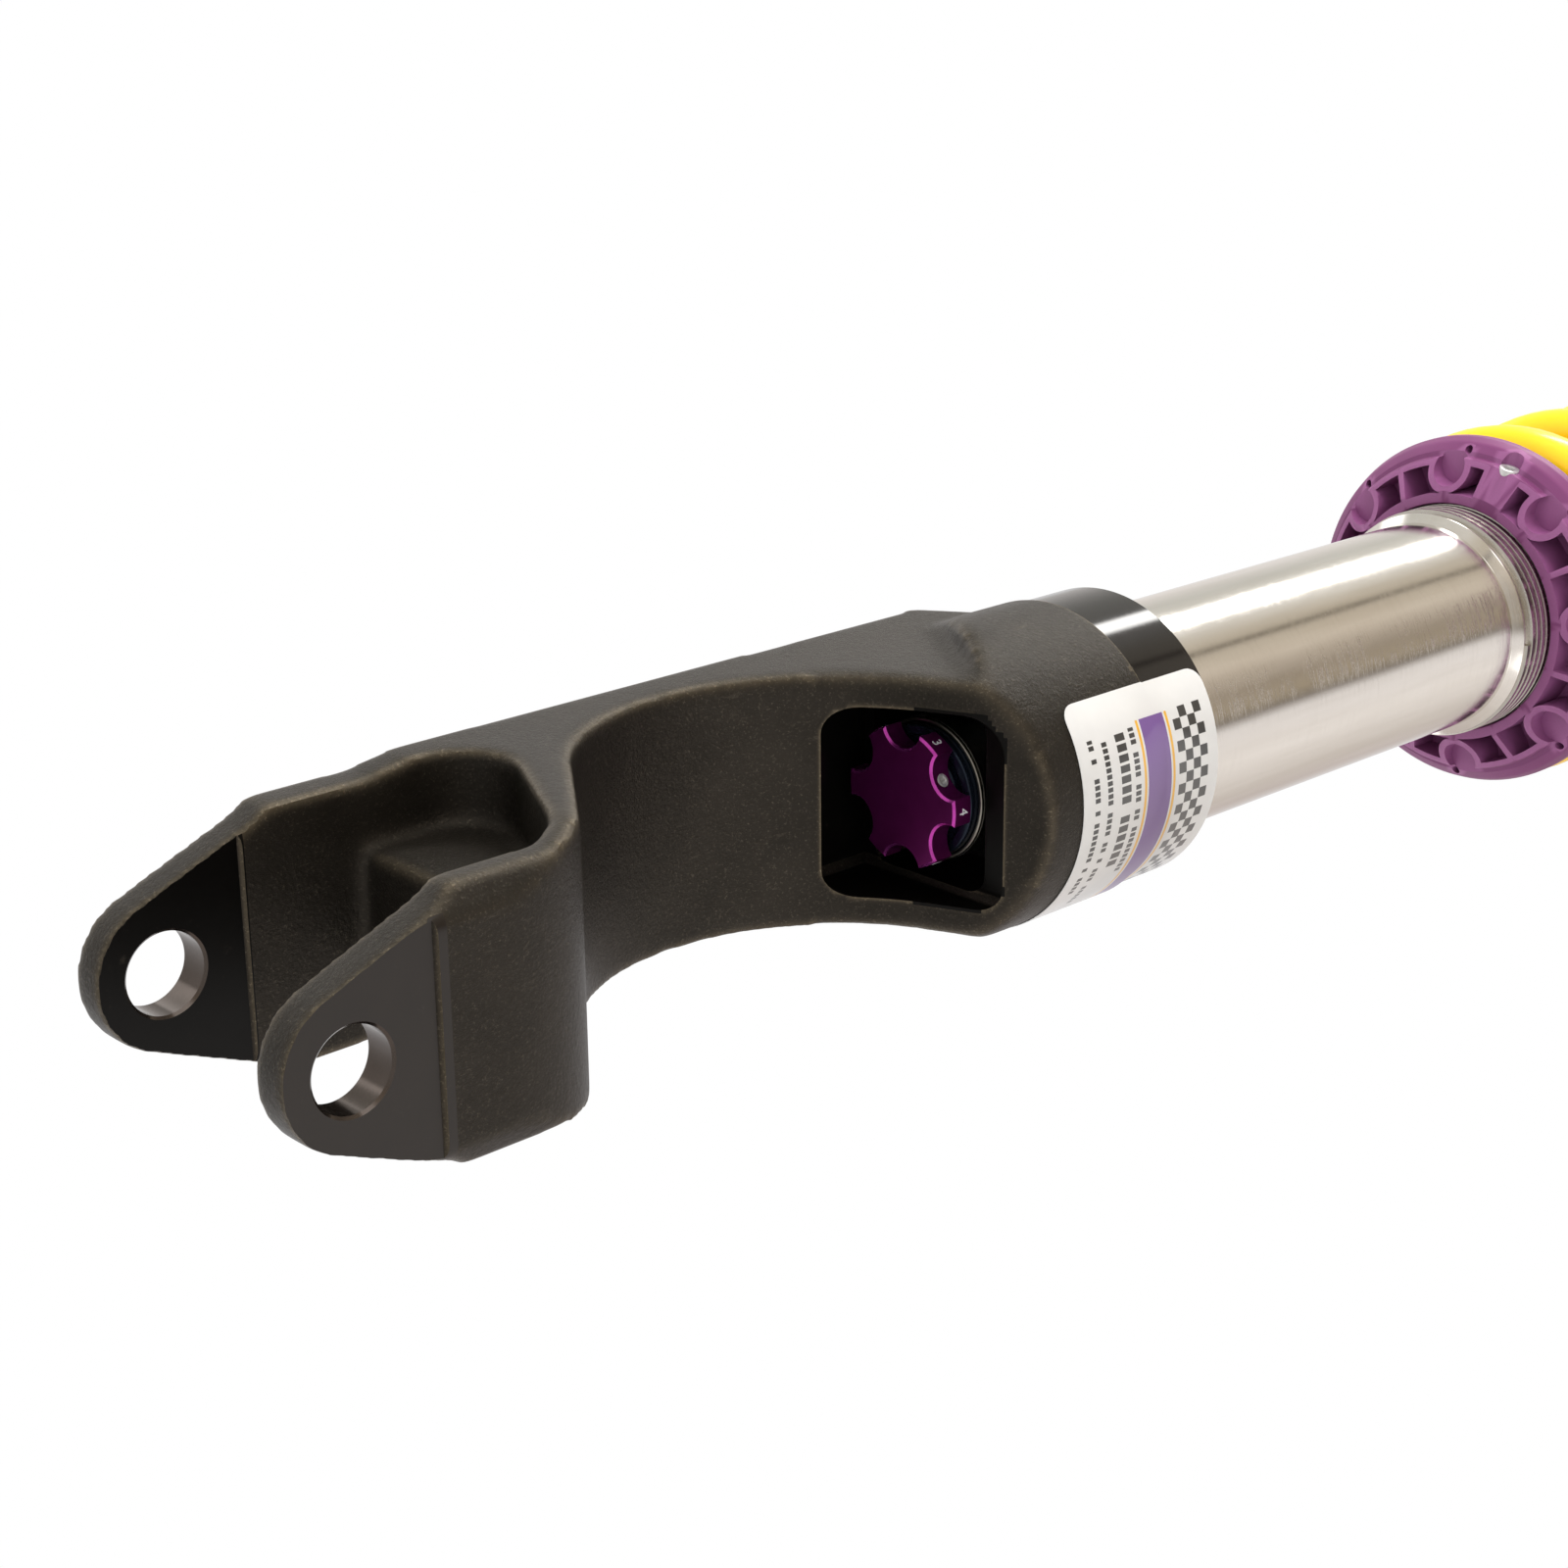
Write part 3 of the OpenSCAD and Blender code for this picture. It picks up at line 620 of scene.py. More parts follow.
def fork_front():
    """The fork's outline in Y and Z: round noses, slanted ears, clevis and the wider neck."""
    slant_top = 18
    reach = (CLEVIS_HALF - 2.5, slant_top - NOSE_Z)
    tangent = degrees(atan2(reach[1], reach[0]) - acos(NOSE_R / hypot(*reach)))
    right = [(reach[0], slant_top), (CLEVIS_HALF, 22), (CLEVIS_HALF, 42), (NECK_HALF, 52),
             (NECK_HALF, BAND_Z)]
    left = [(-y, z) for y, z in reversed(right)]
    return arc(0, NOSE_Z, NOSE_R, -180 - tangent, tangent, 40) + right + left


def fork_side(out):
    """Its outline in X and Z: shoulder over the clevis, scoop, then a slope that reaches x = out."""
    root, lip = 228, 114
    x = SCOOP[0] + SCOOP_R * cos(radians(lip))
    z = SCOOP[1] + SCOOP_R * sin(radians(lip))
    shoulder_r, shoulder_z = 36, 28.9
    shoulder = arc(CLEVIS_SIDE - shoulder_r, shoulder_z, shoulder_r, 0, 43, 12)
    slope = [(out, z + (out - x) / tan(radians(180 - lip))), (out, BAND_Z), (NECK_BACK, BAND_Z)]
    return ([(NECK_BACK, -NOSE_R), (CLEVIS_SIDE, -NOSE_R)] + shoulder
            + arc(*SCOOP, SCOOP_R, root, lip, 36) + slope)


def forging():
    """The rough forging: bar, neck and socket overlap, and are blended into one skin later."""
    bar = cut(prism(fork_side(16), -PAST, PAST, "Y"), prism(fork_front(), -PAST, PAST, "X"), "INTERSECT")
    taper = turned([(0, TAPER_Z), (SOCKET_R + BAND_Z - TAPER_Z, TAPER_Z), (SOCKET_R, BAND_Z),
                    (0, BAND_Z)], 128)
    limit = cut(block(-50, 50, -50, 50, -20, TAPER_Z + 1), taper, "UNION")
    bar = cut(bar, limit, "INTERSECT")
    for s in (-1, 1):
        # The slanted band along the clevis's front and back edges
        band_y = s * (CLEVIS_HALF - 5.5)
        corner = prism([(EAR_OUT + 1, band_y), (EAR_OUT + 12, band_y), (EAR_OUT + 12, s * PAST),
                        (EAR_OUT - 12, s * PAST)], 10, 60)
        bar = cut(bar, corner)
    bar = cut(bar, pocket())
    neck_z = 112
    neck = turned([(0, neck_z), (SOCKET_R, neck_z), (SOCKET_R, BAND_Z), (0, BAND_Z)], 160)
    neck = cut(neck, block(-50, 50, -NECK_HALF, NECK_HALF, 100, BAND_Z + 5), "INTERSECT")
    neck = cut(neck, prism(fork_side(PAST), -PAST, PAST, "Y"), "INTERSECT")
    socket = turned([(0, 150), (SOCKET_R, 150), (SOCKET_R, SOCKET_TOP), (0, SOCKET_TOP)], 160)
    run_out = [(-PAST, 191), (-24, 184), (17, 157), (PAST, 167), (PAST, 230), (-PAST, 230)]
    socket = cut(socket, prism(run_out, -PAST, PAST, "Y"), "INTERSECT")
    return together(bar, neck, socket)


def pocket():
    """The clevis gap: round-ended, with a web left standing in the middle of its upper part."""
    wall = EAR_IN - 0.7
    front_r, back_r, meet = 15.8, 10.8, 62.6
    dome = (arc(wall - front_r, 38, front_r, 0, meet, 10)
            + arc(back_r - wall, 53.5, back_r, meet, 180, 10))
    gap = prism([(wall, -30)] + dome + [(-wall, -30)], -PAST, PAST, "Y")
    web_half, web_z = 12, 40
    web = prism([(-web_half, web_z), (web_half, web_z), (web_half, 100), (-web_half, 100)],
                -PAST, PAST, "X")
    return cut(gap, web)


def relaxed(bm, passes, chosen=lambda v: True):
    """Smooths the chosen points, which rounds edges and fills inner corners."""
    verts = [v for v in bm.verts if chosen(v.co)]
    for _ in range(passes):
        bmesh.ops.smooth_vert(bm, verts=verts, factor=0.5, use_axis_x=True, use_axis_y=True, use_axis_z=True)
    return bm


def mark(bm, inside, index):
    """Gives the faces whose middle lies inside a region another finish."""
    for face in bm.faces:
        if inside(face.calc_center_median(), face.normal):
            face.material_index = index


def blended():
    """The forging's skin, smoothed most where the socket runs out into the bar."""
    bm = remeshed(forging(), 1.05)
    relaxed(bm, 5)
    relaxed(bm, 3, lambda p: p.z > 70)
    relaxed(bm, 3, lambda p: 38 < p.z < 150)
    return relaxed(bm, 10, lambda p: 138 < p.z < 184 and abs(p.y) > 14)


def mill_ears(bm):
    """The clevis faces, with a small slanted step where the cutter stopped, and the bolt holes."""
    step = 0.7
    gap = [(-EAR_IN, -PAST), (EAR_IN, -PAST), (EAR_IN, EAR_TOP - step), (EAR_IN - step, EAR_TOP),
           (step - EAR_IN, EAR_TOP), (-EAR_IN, EAR_TOP - step)]
    bm = cut(bm, prism(gap, -PAST, PAST, "Y"))
    for s in (-1, 1):
        side = [(s * EAR_OUT, -PAST), (s * (EAR_OUT + 9), -PAST), (s * (EAR_OUT + 9), EAR_TOP + step),
                (s * (EAR_OUT + 0.9), EAR_TOP + step), (s * EAR_OUT, EAR_TOP)]
        bm = cut(bm, prism(side, -PAST, PAST, "Y"))
    bevel = 0.5
    half = [(BOLT_R + bevel + 1, EAR_IN - 1), (BOLT_R, EAR_IN + bevel), (BOLT_R, EAR_OUT - bevel),
            (BOLT_R + bevel + 2, EAR_OUT + 2), (0, EAR_OUT + 2)]
    drill = turned([(r, -x) for r, x in reversed(half)] + half, 96)
    return cut(bm, placed(drill, tip=90))


def machine_socket(bm):
    """The turned band, the tube's bore, and the adjuster's window with a wider cavity behind its ledge."""
    chamfer = 0.8
    band = turned([(BAND_R, BAND_Z), (BAND_R + 9, BAND_Z), (BAND_R + 9, SOCKET_TOP + 5), (0, SOCKET_TOP + 5),
                   (0, SOCKET_TOP), (BAND_R - chamfer, SOCKET_TOP), (BAND_R, SOCKET_TOP - chamfer)], 160)
    bm = cut(bm, band)
    bm = cut(bm, placed(rod(TUBE_R, 60, 128), z=TUBE_FOOT))
    half = WINDOW_HALF
    across = prism([(-18, -half, 3), (22.5, -half, 8), (22.5, half, 5), (-18, half, 3)], 100, 180, steps=8)
    along = prism([(-half, WINDOW_Z, 5.5), (half, WINDOW_Z, 5.5), (half, LEDGE_Z, 3), (-half, LEDGE_Z, 3)],
                  -30, PAST, "X", steps=8)
    bm = cut(bm, cut(across, along, "INTERSECT"))
    return cut(bm, block(-15.4, 15.4, -18.6, 18.6, LEDGE_Z - 1, TUBE_FOOT + 0.5, 4))


def square_on(n):
    """True for a normal that points nearly along one axis."""
    return abs(n.x) + abs(n.y) + abs(n.z) < 1.35


def build_fork():
    """The whole fork, with its milled, turned, shaded and bored faces marked for their finishes."""
    bm = machine_socket(mill_ears(blended()))
    mark(bm, lambda p, n: p.z < EAR_TOP + 2.2 and abs(n.x) > 0.72 and abs(p.x) > EAR_OUT - 1, SIDE)
    # Painted shade on the slot's inner walls
    mark(bm, lambda p, n: p.z < EAR_TOP + 0.2 and abs(n.x) > 0.72 and abs(p.x) < EAR_IN + 1, PAINTED_SHADE_WALL)
    mark(bm, lambda p, n: abs(n.x) < 0.9 and hypot(p.y, p.z) < BOLT_R + 1.2 and abs(p.x) < 32, BORE_WALL)
    mark(bm, lambda p, n: p.z > BAND_Z - 0.01 and hypot(p.x, p.y) > TUBE_R - 0.5, RIM)
    # Painted shade on the faces inside the adjuster's window
    mark(bm, lambda p, n: -18.2 < p.x < 22.7 and abs(p.y) < WINDOW_HALF + 0.5
         and WINDOW_Z - 1 < p.z < TUBE_FOOT + 1 and square_on(n), PAINTED_SHADE_WALL)
    sections = ["fork_clevis", "fork_neck", "fork_collar"]
    fork = piece("fork_forging", bm, "damper_body", FORGED, sections, 32)
    for finish in (MACHINED, BAND, SLOT_PAINTED_SHADE, BORE):
        fork.data.materials.append(finish)


# ---------------------------------------------------------------------------- tube

CONE_Z = 330.0
PITCH = 2.0


def helix_ridge(root, crest, pitch, bottom, top, per_turn):
    """One start of a screw thread, as a closed ridge that sinks a little into its core."""
    turns = (top - bottom) / pitch
    tip = 0.26 * pitch
    half = 0.46 * pitch
    foot = root - 0.3
    section = [(foot, -half), (root, -half), (crest, -tip), (crest, tip), (root, half), (foot, half)]
    bm = bmesh.new()
    verts = [bm.verts.new((r, 0, bottom + z)) for r, z in section]
    face = bm.faces.new(verts)
    grown = bmesh.ops.spin(bm, geom=verts + list(face.edges), cent=(0, 0, 0), axis=(0, 0, 1),
                           dvec=(0, 0, pitch / per_turn), angle=tau * turns, steps=int(turns * per_turn))
    ends = [v for v in grown["geom_last"] if isinstance(v, bmesh.types.BMVert)]
    bm.faces.new(ends)
    return tidy(bm)


def build_tube():
    """The polished tube, widened by a cone to the thread of the spring perch."""
    z0, z1 = low("damper_tube").z, high("damper_tube").z
    crest = high("damper_tube").x
    root = crest - 1.0
    bore = TUBE_R - 3
    tube = turned([(bore, z0), (TUBE_R, z0, 0.4), (TUBE_R, CONE_Z, 0.25), (crest - 0.3, CONE_Z + 1.9, 0.5),
                   (root, CONE_Z + 2.9, 0.2), (root, z1, 0.6), (bore, z1, 0.3)], 144)
    mark(tube, lambda p, n: p.z > CONE_Z + 2.5, 1)
    ridge = helix_ridge(root, crest, PITCH, CONE_Z + 3.4, z1 - 2.2, 72)
    mark(ridge, lambda p, n: True, 1)
    obj = piece("polished_tube", together(tube, ridge), "damper_body", STAINLESS,
                ["damper_tube"])
    obj.data.materials.append(THREAD)


# ---------------------------------------------------------------------------- label

LABEL_FROM = -39.0
LABEL_TO = 79.0
FOIL = 0.12
# The label's UV map counts this many millimetres as one
UV_SIZE = 100


def printed_foil():
    """White foil under a clear film, with rows of blocks, a stripe and a chequered strip."""
    f = Finish("printed_foil")
    uv = f.node("ShaderNodeTexCoord", output=2)
    along = f.part(uv, "X") * UV_SIZE
    up = f.part(uv, "Y") * UV_SIZE

    def between(value, start, end):
        return (value > start) * (value < end)

    def blocks(row, height, pitch, start, end, seed):
        """A row of blocks with gaps between them, where about one block in five is left out."""
        cell = f.node("ShaderNodeCombineXYZ", {}, {0: (along / pitch).floor(), 1: seed})
        filled = f.node("ShaderNodeTexWhiteNoise", {"noise_dimensions": "3D"}, {0: cell}) > 0.2
        inked = (along / pitch).fract() < 0.72
        return between(up, row, row + height) * between(along, start, end) * filled * inked

    rows = (blocks(3.4, 1.5, 1.3, 8, 44, 1.0) + blocks(7.2, 1.5, 1.3, 8, 48, 2.0)
            + blocks(11.4, 2.8, 2.1, 8, 42, 3.0) + blocks(15.6, 1.6, 1.3, 8, 40, 4.0))
    square = 2.3
    field = (along / square).floor() + (up / square).floor()
    odd = field.math("FLOORED_MODULO", field, 2.0) > 0.5
    chequer = odd * between(up, 13 * square, 17 * square) * between(along, 3 * square, 24 * square)
    left, right = 7, 52
    stripe = between(up, 19.5, 27.5) * between(along, left, right)
    outline = (between(up, 18.3, 19.0) + between(up, 28.0, 28.7)) * between(along, left, right)
    ink = rows.math("MINIMUM", rows + chequer, 1.0)
    wrinkle = f.noise(6.0, 2.0)
    paper = f.mix(wrinkle, (0.66, 0.655, 0.645), (0.74, 0.735, 0.72))
    colour = f.mix(ink, paper, (0.03, 0.03, 0.03))
    colour = f.mix(outline, colour, (0.80, 0.42, 0.02))
    colour = f.mix(stripe, colour, (0.16, 0.07, 0.28))
    return f.set(Base_Color=colour, Metallic=0.0, Roughness=0.30 + 0.08 * wrinkle, Coat_Weight=0.5,
                 Coat_Roughness=0.08, Normal=f.bump(wrinkle, 0.05, strength=0.3))


def build_label():
    """A rounded foil, drawn flat as arc length by height and then wrapped round the socket."""
    bottom, top = low("socket_label").z, high("socket_label").z
    length = radians(LABEL_TO - LABEL_FROM) * SOCKET_R
    bm = bmesh.new()
    r = 3.5
    outline = rounded([(0, bottom, r), (length, bottom, r), (length, top, r), (0, top, r)], 6)
    bm.faces.new([bm.verts.new((u, 0, v)) for u, v in outline])
    strips = 48
    creases = [((length * i / strips, 0, 0), (1, 0, 0)) for i in range(1, strips)]
    creases += [((0, 0, z), (0, 0, 1)) for z in (BAND_Z - 0.2, BAND_Z + 0.7)]
    for place, normal in creases:
        bmesh.ops.bisect_plane(bm, geom=bm.verts[:] + bm.edges[:] + bm.faces[:], dist=1e-5,
                               plane_co=place, plane_no=normal)
    uv = bm.loops.layers.uv.new("print")
    for face in bm.faces:
        for loop in face.loops:
            loop[uv].uv = (loop.vert.co.x / UV_SIZE, (loop.vert.co.z - bottom) / UV_SIZE)
    for vert in bm.verts:
        a = radians(LABEL_FROM) + vert.co.x / SOCKET_R
        around = (SOCKET_R if vert.co.z < BAND_Z else BAND_R) + FOIL / 2
        vert.co = (around * cos(a), around * sin(a), vert.co.z)
    bmesh.ops.recalc_face_normals(bm, faces=bm.faces)
    if sum(f.normal.dot(f.calc_center_median().xy.to_3d()) for f in bm.faces) < 0:
        bmesh.ops.reverse_faces(bm, faces=bm.faces)
    bmesh.ops.solidify(bm, geom=bm.faces[:], thickness=-FOIL)
    piece("printed_label", bm, "damper_body", printed_foil(), ["socket_label"], 60)


# ---------------------------------------------------------------------------- compression adjuster

def star(r, lobes, bite_r, bite_at, bottom, top, chamfer):
    """A knob with round bites between its lobes and bright chamfers. The first lobe points along +X."""
    meet = degrees(acos((r * r + bite_at ** 2 - bite_r ** 2) / (2 * r * bite_at)))
    swing = degrees(atan2(r * sin(radians(meet)), bite_at - r * cos(radians(meet))))
    half = 180 / lobes
    outline = []
    for i in range(lobes):
        a = 2 * half * i
        outline += arc(0, 0, r, a - half + meet, a + half - meet, 6)
        middle = (bite_at * cos(radians(a + half)), bite_at * sin(radians(a + half)))
        inwards = a + half + 180
        outline += arc(*middle, bite_r, inwards + swing, inwards - swing, 12)[1:-1]
    knob = prism(outline, bottom, top)
    rims = [e for e in knob.edges if abs(e.verts[0].co.z - e.verts[1].co.z) < 1e-4]
    bevelled = bmesh.ops.bevel(knob, geom=rims, offset=chamfer, segments=1, profile=0.5, affect="EDGES",
                               material=-1)
    for face in bevelled["faces"]:
        face.material_index = 1
    return knob


def grub_screw(r, length, socket_r, depth, ease, sides):
    """A headless screw along +Z, with a hexagon socket in its top."""
    socket = prism(arc(0, 0, socket_r, 0, 300, 5), length - depth, length + depth)
    return eased(cut(rod(r, length, sides), socket), ease)


KNOB_LOBES = 6
KNOB_SCREW_Z = 154.8
KNOB_SCREW_AT = -30.0


def build_knob():
    """The lobed compression knob and the grub screw that holds it on the needle."""
    z0, z1 = low("compression_knob").z, high("compression_knob").z
    r = high("compression_knob").x
    knob = star(r, KNOB_LOBES, 4.9, r + 0.6, z0, z1, 0.45)
    knob = cut(knob, placed(rod(1.5, 12, 24), tip=90, x=6, z=KNOB_SCREW_Z, turn=KNOB_SCREW_AT))
    obj = piece("knob_star", knob, "compression_adjuster", ANODISED, ["compression_knob"], 25)
    obj.data.materials.append(BRIGHT_CUT)
    screw = grub_screw(1.44, 5.6, 0.85, 1.6, 0.12, 32)
    placed(screw, x=4.5, z=KNOB_SCREW_Z, tip=90, turn=KNOB_SCREW_AT)
    piece("knob_grub_screw", screw, "compression_adjuster", SCREW, ["knob_screw"])


def filled_digits():
    """Silver paint of the knob's numbers."""
    f = Finish("filled_digits")
    speck = f.noise(0.2, 2.0)
    colour = f.mix(speck, (0.62, 0.62, 0.64), (0.80, 0.80, 0.82))
    return f.set(Base_Color=colour, Metallic=0.2, Roughness=0.4 + 0.1 * speck)


def build_digits():
    """Upright numbers, one on each lobe's rim, as thin as a coat of paint."""
    silver = filled_digits()
    r = high("compression_knob").x
    middle_z = (low("compression_knob").z + high("compression_knob").z) / 2
    upright = Matrix.Rotation(radians(90), 3, "Z") @ Matrix.Rotation(radians(90), 3, "X")
    for i in range(KNOB_LOBES):
        text = bpy.data.curves.new("digit", "FONT")
        text.body = str((i + 3) % KNOB_LOBES + 1)
        text.size = 3.1
        text.extrude = 0.03
        text.align_x = "CENTER"
        text.align_y = "CENTER"
        digit = drawn(text)
        bmesh.ops.rotate(digit, cent=(0, 0, 0), matrix=upright, verts=digit.verts)
        placed(digit, x=r + 0.02, z=middle_z, turn=360 / KNOB_LOBES * i)
        piece(f"knob_digit_{i + 1}", digit, "compression_adjuster", silver)


def build_housing():
    """The flanged housing round the needle, and the split ring that holds it."""
    z = low("adjuster_housing").z
    rim, body_r, bore = 13.7, 11, 2.6
    top = z + 12.4
    housing = turned([(bore, z, 0.2), (9.2, z, 0.3), (9.6, z + 0.5, 0.2), (11.4, z + 0.5, 0.2),
                      (11.8, z, 0.3), (rim, z, 0.5), (rim, z + 3, 0.2), (body_r, z + 3, 0.1),
                      (body_r, top, 0.4), (bore, top, 0.3)], 96)
    piece("adjuster_ring", housing, "damper_body", BLUE_BLACK, ["adjuster_housing"])
    low_z, high_z = low("retaining_ring").z, high("retaining_ring").z
    split = block(-20, -10, -2, 2, low_z - 5, high_z + 5)
    ring = cut(collar(rim + 0.02, 14.7, low_z, high_z, 0.35), split)
    piece("snap_ring", ring, "damper_body", RING, ["retaining_ring"])


# ---------------------------------------------------------------------------- spring perch

NOTCHES = 8
NOTCH_STEP = 360 / NOTCHES
NOTCH_AT = -97.0
NOTCH_R = 36.0
PERCH_HUB = 27.8
PERCH_NECK = 30.3
PERCH_SCREW_AT = NOTCH_AT + NOTCH_STEP / 2


def perch_blank(z, seat):
    """The turned perch: hub, lower rim, swept flange under the slip ring, and the neck in the spring."""
    top = high("spring_perch").z
    r = high("spring_perch").x
    return turned([(PERCH_HUB, z, 0.4), (PERCH_HUB + 3, z, 0.5), (38.5, z + 3.6, 0.6), (38.5, z + 5.4, 0.4),
                   (39.8, z + 5.6, 0.5), (41.8, z + 7.0, 2.0), (r, z + 9.4, 1.2), (r, seat, 0.6),
                   (PERCH_NECK, seat, 0.3), (PERCH_NECK, top, 0.5), (PERCH_HUB, top, 0.4)], 144)


def perch_pocket(z, floor, angle, side, near):
    """A pocket beside a rib, which starts near degrees from it and stays clear of the next notch."""
    outer = 36.9
    far = 20
    first = arc(0, 0, PERCH_NECK, side * near, side * far, 6)
    last = arc(0, 0, outer, side * far, side * near, 6)
    shape = prism(first + last, z - 1, floor)
    keep = placed(rod(5.8, 14, 48), x=NOTCH_R, z=z - 2, turn=side * NOTCH_STEP / 2)
    return placed(cut(shape, keep), turn=angle)


def build_perch():
    """The perch with its spanner notches, drain holes and pockets, and its locking screw."""
    z = low("spring_perch").z
    seat = low("slip_ring").z
    screw_z = z + 5.5
    wheel = perch_blank(z, seat)
    for i in range(NOTCHES):
        a = NOTCH_AT + i * NOTCH_STEP
        wheel = cut(wheel, placed(rod(4.2, 6.6, 48), x=NOTCH_R, z=z - 1, turn=a))
        wheel = cut(wheel, placed(block(0, 7, -2.9, 2.9, 0, 6.55, 0.6), x=NOTCH_R, z=z - 1, turn=a))
        wheel = cut(wheel, placed(rod(1.0, 14, 20), x=40.1, z=z, turn=a + 5))
        # The first rib is wider, because the locking screw runs through it
        near = 1.3 if i else 7.5
        for side in (-1, 1):
            wheel = cut(wheel, perch_pocket(z, seat - 1.4, PERCH_SCREW_AT + i * NOTCH_STEP, side, near))
    wheel = cut(wheel, placed(rod(2.5, 30, 32), x=31, z=screw_z, tip=90, turn=PERCH_SCREW_AT))
    piece("perch_wheel", eased(wheel, 0.28, 2, 35), "perch", PERCH, ["spring_perch"], 50)
    screw = grub_screw(2.44, 7.6, 1.45, 2.6, 0.15, 40)
    placed(screw, x=31.2, z=screw_z, tip=90, turn=PERCH_SCREW_AT)
    piece("perch_grub_screw", screw, "perch", SCREW, ["locking_screw"])


# ---------------------------------------------------------------------------- main spring

WIRE_R = 6.25
COIL_R = 36.75
TURNS = 8
PER_TURN = 72
FIRST_AT = -60.0


def spring_path(bottom, top):
    """The middle of the wire: one closed turn at each end, and evenly open turns between them."""
    close = 2 * WIRE_R + 0.4
    sink = 1.2
    rise = (top - bottom - 2 * (sink + close)) / (TURNS - 2)
    path = []
    for i in range(TURNS * PER_TURN + 1):
        t = i / PER_TURN
        open_turns = min(max(t - 1, 0), TURNS - 2)
        z = bottom + sink + close * (t - open_turns) + rise * open_turns
        a = tau * t + radians(FIRST_AT)
        path.append(Vector((COIL_R * cos(a), COIL_R * sin(a), z)))
    return path


def wound(path):
    """A round wire along the path."""
    wire = bpy.data.curves.new("wire", "CURVE")
    wire.dimensions = "3D"
    wire.bevel_depth = WIRE_R
    wire.bevel_resolution = 5
    wire.use_fill_caps = True
    spline = wire.splines.new("POLY")
    spline.points.add(len(path) - 1)
    for point, place in zip(spline.points, path):
        point.co = (*place, 1)
    return drawn(wire)


def build_spring():
    """The main spring, ground flat at both ends, between its seat and the top mount."""
    bottom, top = low("main_spring").z, high("main_spring").z
    path = spring_path(bottom, top)
    bm = wound(path)
    for z, up in ((bottom, -1), (top, 1)):
        ground = bmesh.ops.bisect_plane(bm, geom=bm.verts[:] + bm.edges[:] + bm.faces[:], dist=1e-4,
                                        plane_co=(0, 0, z), plane_no=(0, 0, up), clear_outer=True)
        rim = [e for e in ground["geom_cut"] if isinstance(e, bmesh.types.BMEdge)]
        bmesh.ops.holes_fill(bm, edges=rim, sides=0)
    spring = shown("yellow_spring", tidy(bm), YELLOW, 50)
    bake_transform(spring)
    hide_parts("main_spring")
    # Each point of the wire finds its place along the path, but the fraction worked out from it is not kept
    tree = KDTree(len(path))
    for i, place in enumerate(path):
        tree.insert(place * MM, i)
    tree.balance()
    for vert in spring.data.vertices:
        t = tree.find(vert.co)[1] / PER_TURN
        min(1.0, max(0.0, (t - 1) / (TURNS - 2)))


# ---------------------------------------------------------------------------- upper end

LUGS = (90, 210, 330)
LUG_AT = 50.0
LUG_R = 11.0


def dress(node, bm, finish, body="upper", crease=38):
    """A piece that stands for the one CAD node that it is named after."""
    return piece("looks_" + node, bm, body, finish, [node], crease)


def build_gland():
    """The damper's screwed cap, with its spanner holes."""
    z, top = low("tube_cap").z, high("tube_cap").z
    r = high("tube_cap").x
    bore, spigot = 11, 22
    cap = turned([(bore, z, 0.3), (spigot, z, 0.3), (spigot, z + 2, 0.1), (r, z + 2, 0.5), (r, top, 0.8),
                  (13.5, top, 0.4), (12.5, top - 0.6, 0.3), (bore, top - 0.6, 0.3)])
    for turn in (45, 135, 225, 315):
        cap = cut(cap, placed(rod(2.2, 6, 32), x=18, z=z + 3, turn=turn))
    dress("tube_cap", eased(cap, 0.2, 2, 50), BLACK_ALLOY, "damper_body")


def build_bump_stop():
    """The foam stop on the rod, waisted where it folds, and the dust tube that hangs round it."""
    z = low("bump_stop").z
    bore, top = 7.2, z + 46
    foam = turned([(bore, z, 1), (13, z, 2), (17, z + 3, 2), (19, z + 10, 3), (16.5, z + 14, 2),
                   (19, z + 18, 2), (21, z + 26, 3), (18, z + 30, 2), (21, z + 34, 2), (21, top, 1),
                   (bore, top, 0.5)], 72)
    dress("bump_stop", foam, FOAM, crease=60)
    z, top, r = low("dust_tube").z, high("dust_tube").z, high("dust_tube").x
    bore, slim = r - 2.1, r - 0.8
    sleeve = turned([(bore, z, 0.4), (slim, z, 0.5), (slim, top - 12, 0.4), (r, top - 11, 0.4),
                     (r, top, 0.3), (bore, top, 0.3)])
    dress("dust_tube", sleeve, PLASTIC)


def build_spring_plate():
    """The rubber ring on the spring's upper end and the pressed plate over it."""
    z, top, r = low("upper_isolator").z, high("upper_isolator").z, high("upper_isolator").x
    bore = high("dust_tube").x + 0.05
    isolator = turned([(bore, z, 0.8), (r, z, 1.4), (r, top, 0.5), (bore, top, 0.4)])
    dress("upper_isolator", isolator, RUBBER)
    z, top, r = low("upper_spring_plate").z, high("upper_spring_plate").z, high("upper_spring_plate").x
    bore, inside, groove = 19.5, r - 2.7, top - 0.6
    plate = turned([(bore, top - 3, 0.3), (inside, top - 3, 0.4), (inside, z, 0.9), (r, z, 1.1),
                    (r, top, 2.6), (38, top, 0.3), (37.4, groove, 0.3), (36.3, groove, 0.2),
                    (36.1, top, 0.1), (bore, top, 0.3)], 144)
    dress("upper_spring_plate", plate, BLACK_PAINT)


def mount_flange(bottom, top):
    """The flat flange with an ear for each stud, bored for the housing's body."""
    flange_r = 44
    wide = degrees(atan2(LUG_R, 42.6))
    outline = []
    for a in LUGS:
        outline += arc(LUG_AT * cos(radians(a)), LUG_AT * sin(radians(a)), LUG_R, a - 90, a + 90, 20)
        outline += arc(0, 0, flange_r, a + wide, a + 120 - wide, 24)
    plate = cut(prism(outline, bottom, top), placed(rod(30, 20, 96), z=bottom - 5))
    return eased(plate, 0.9, 3, 50)


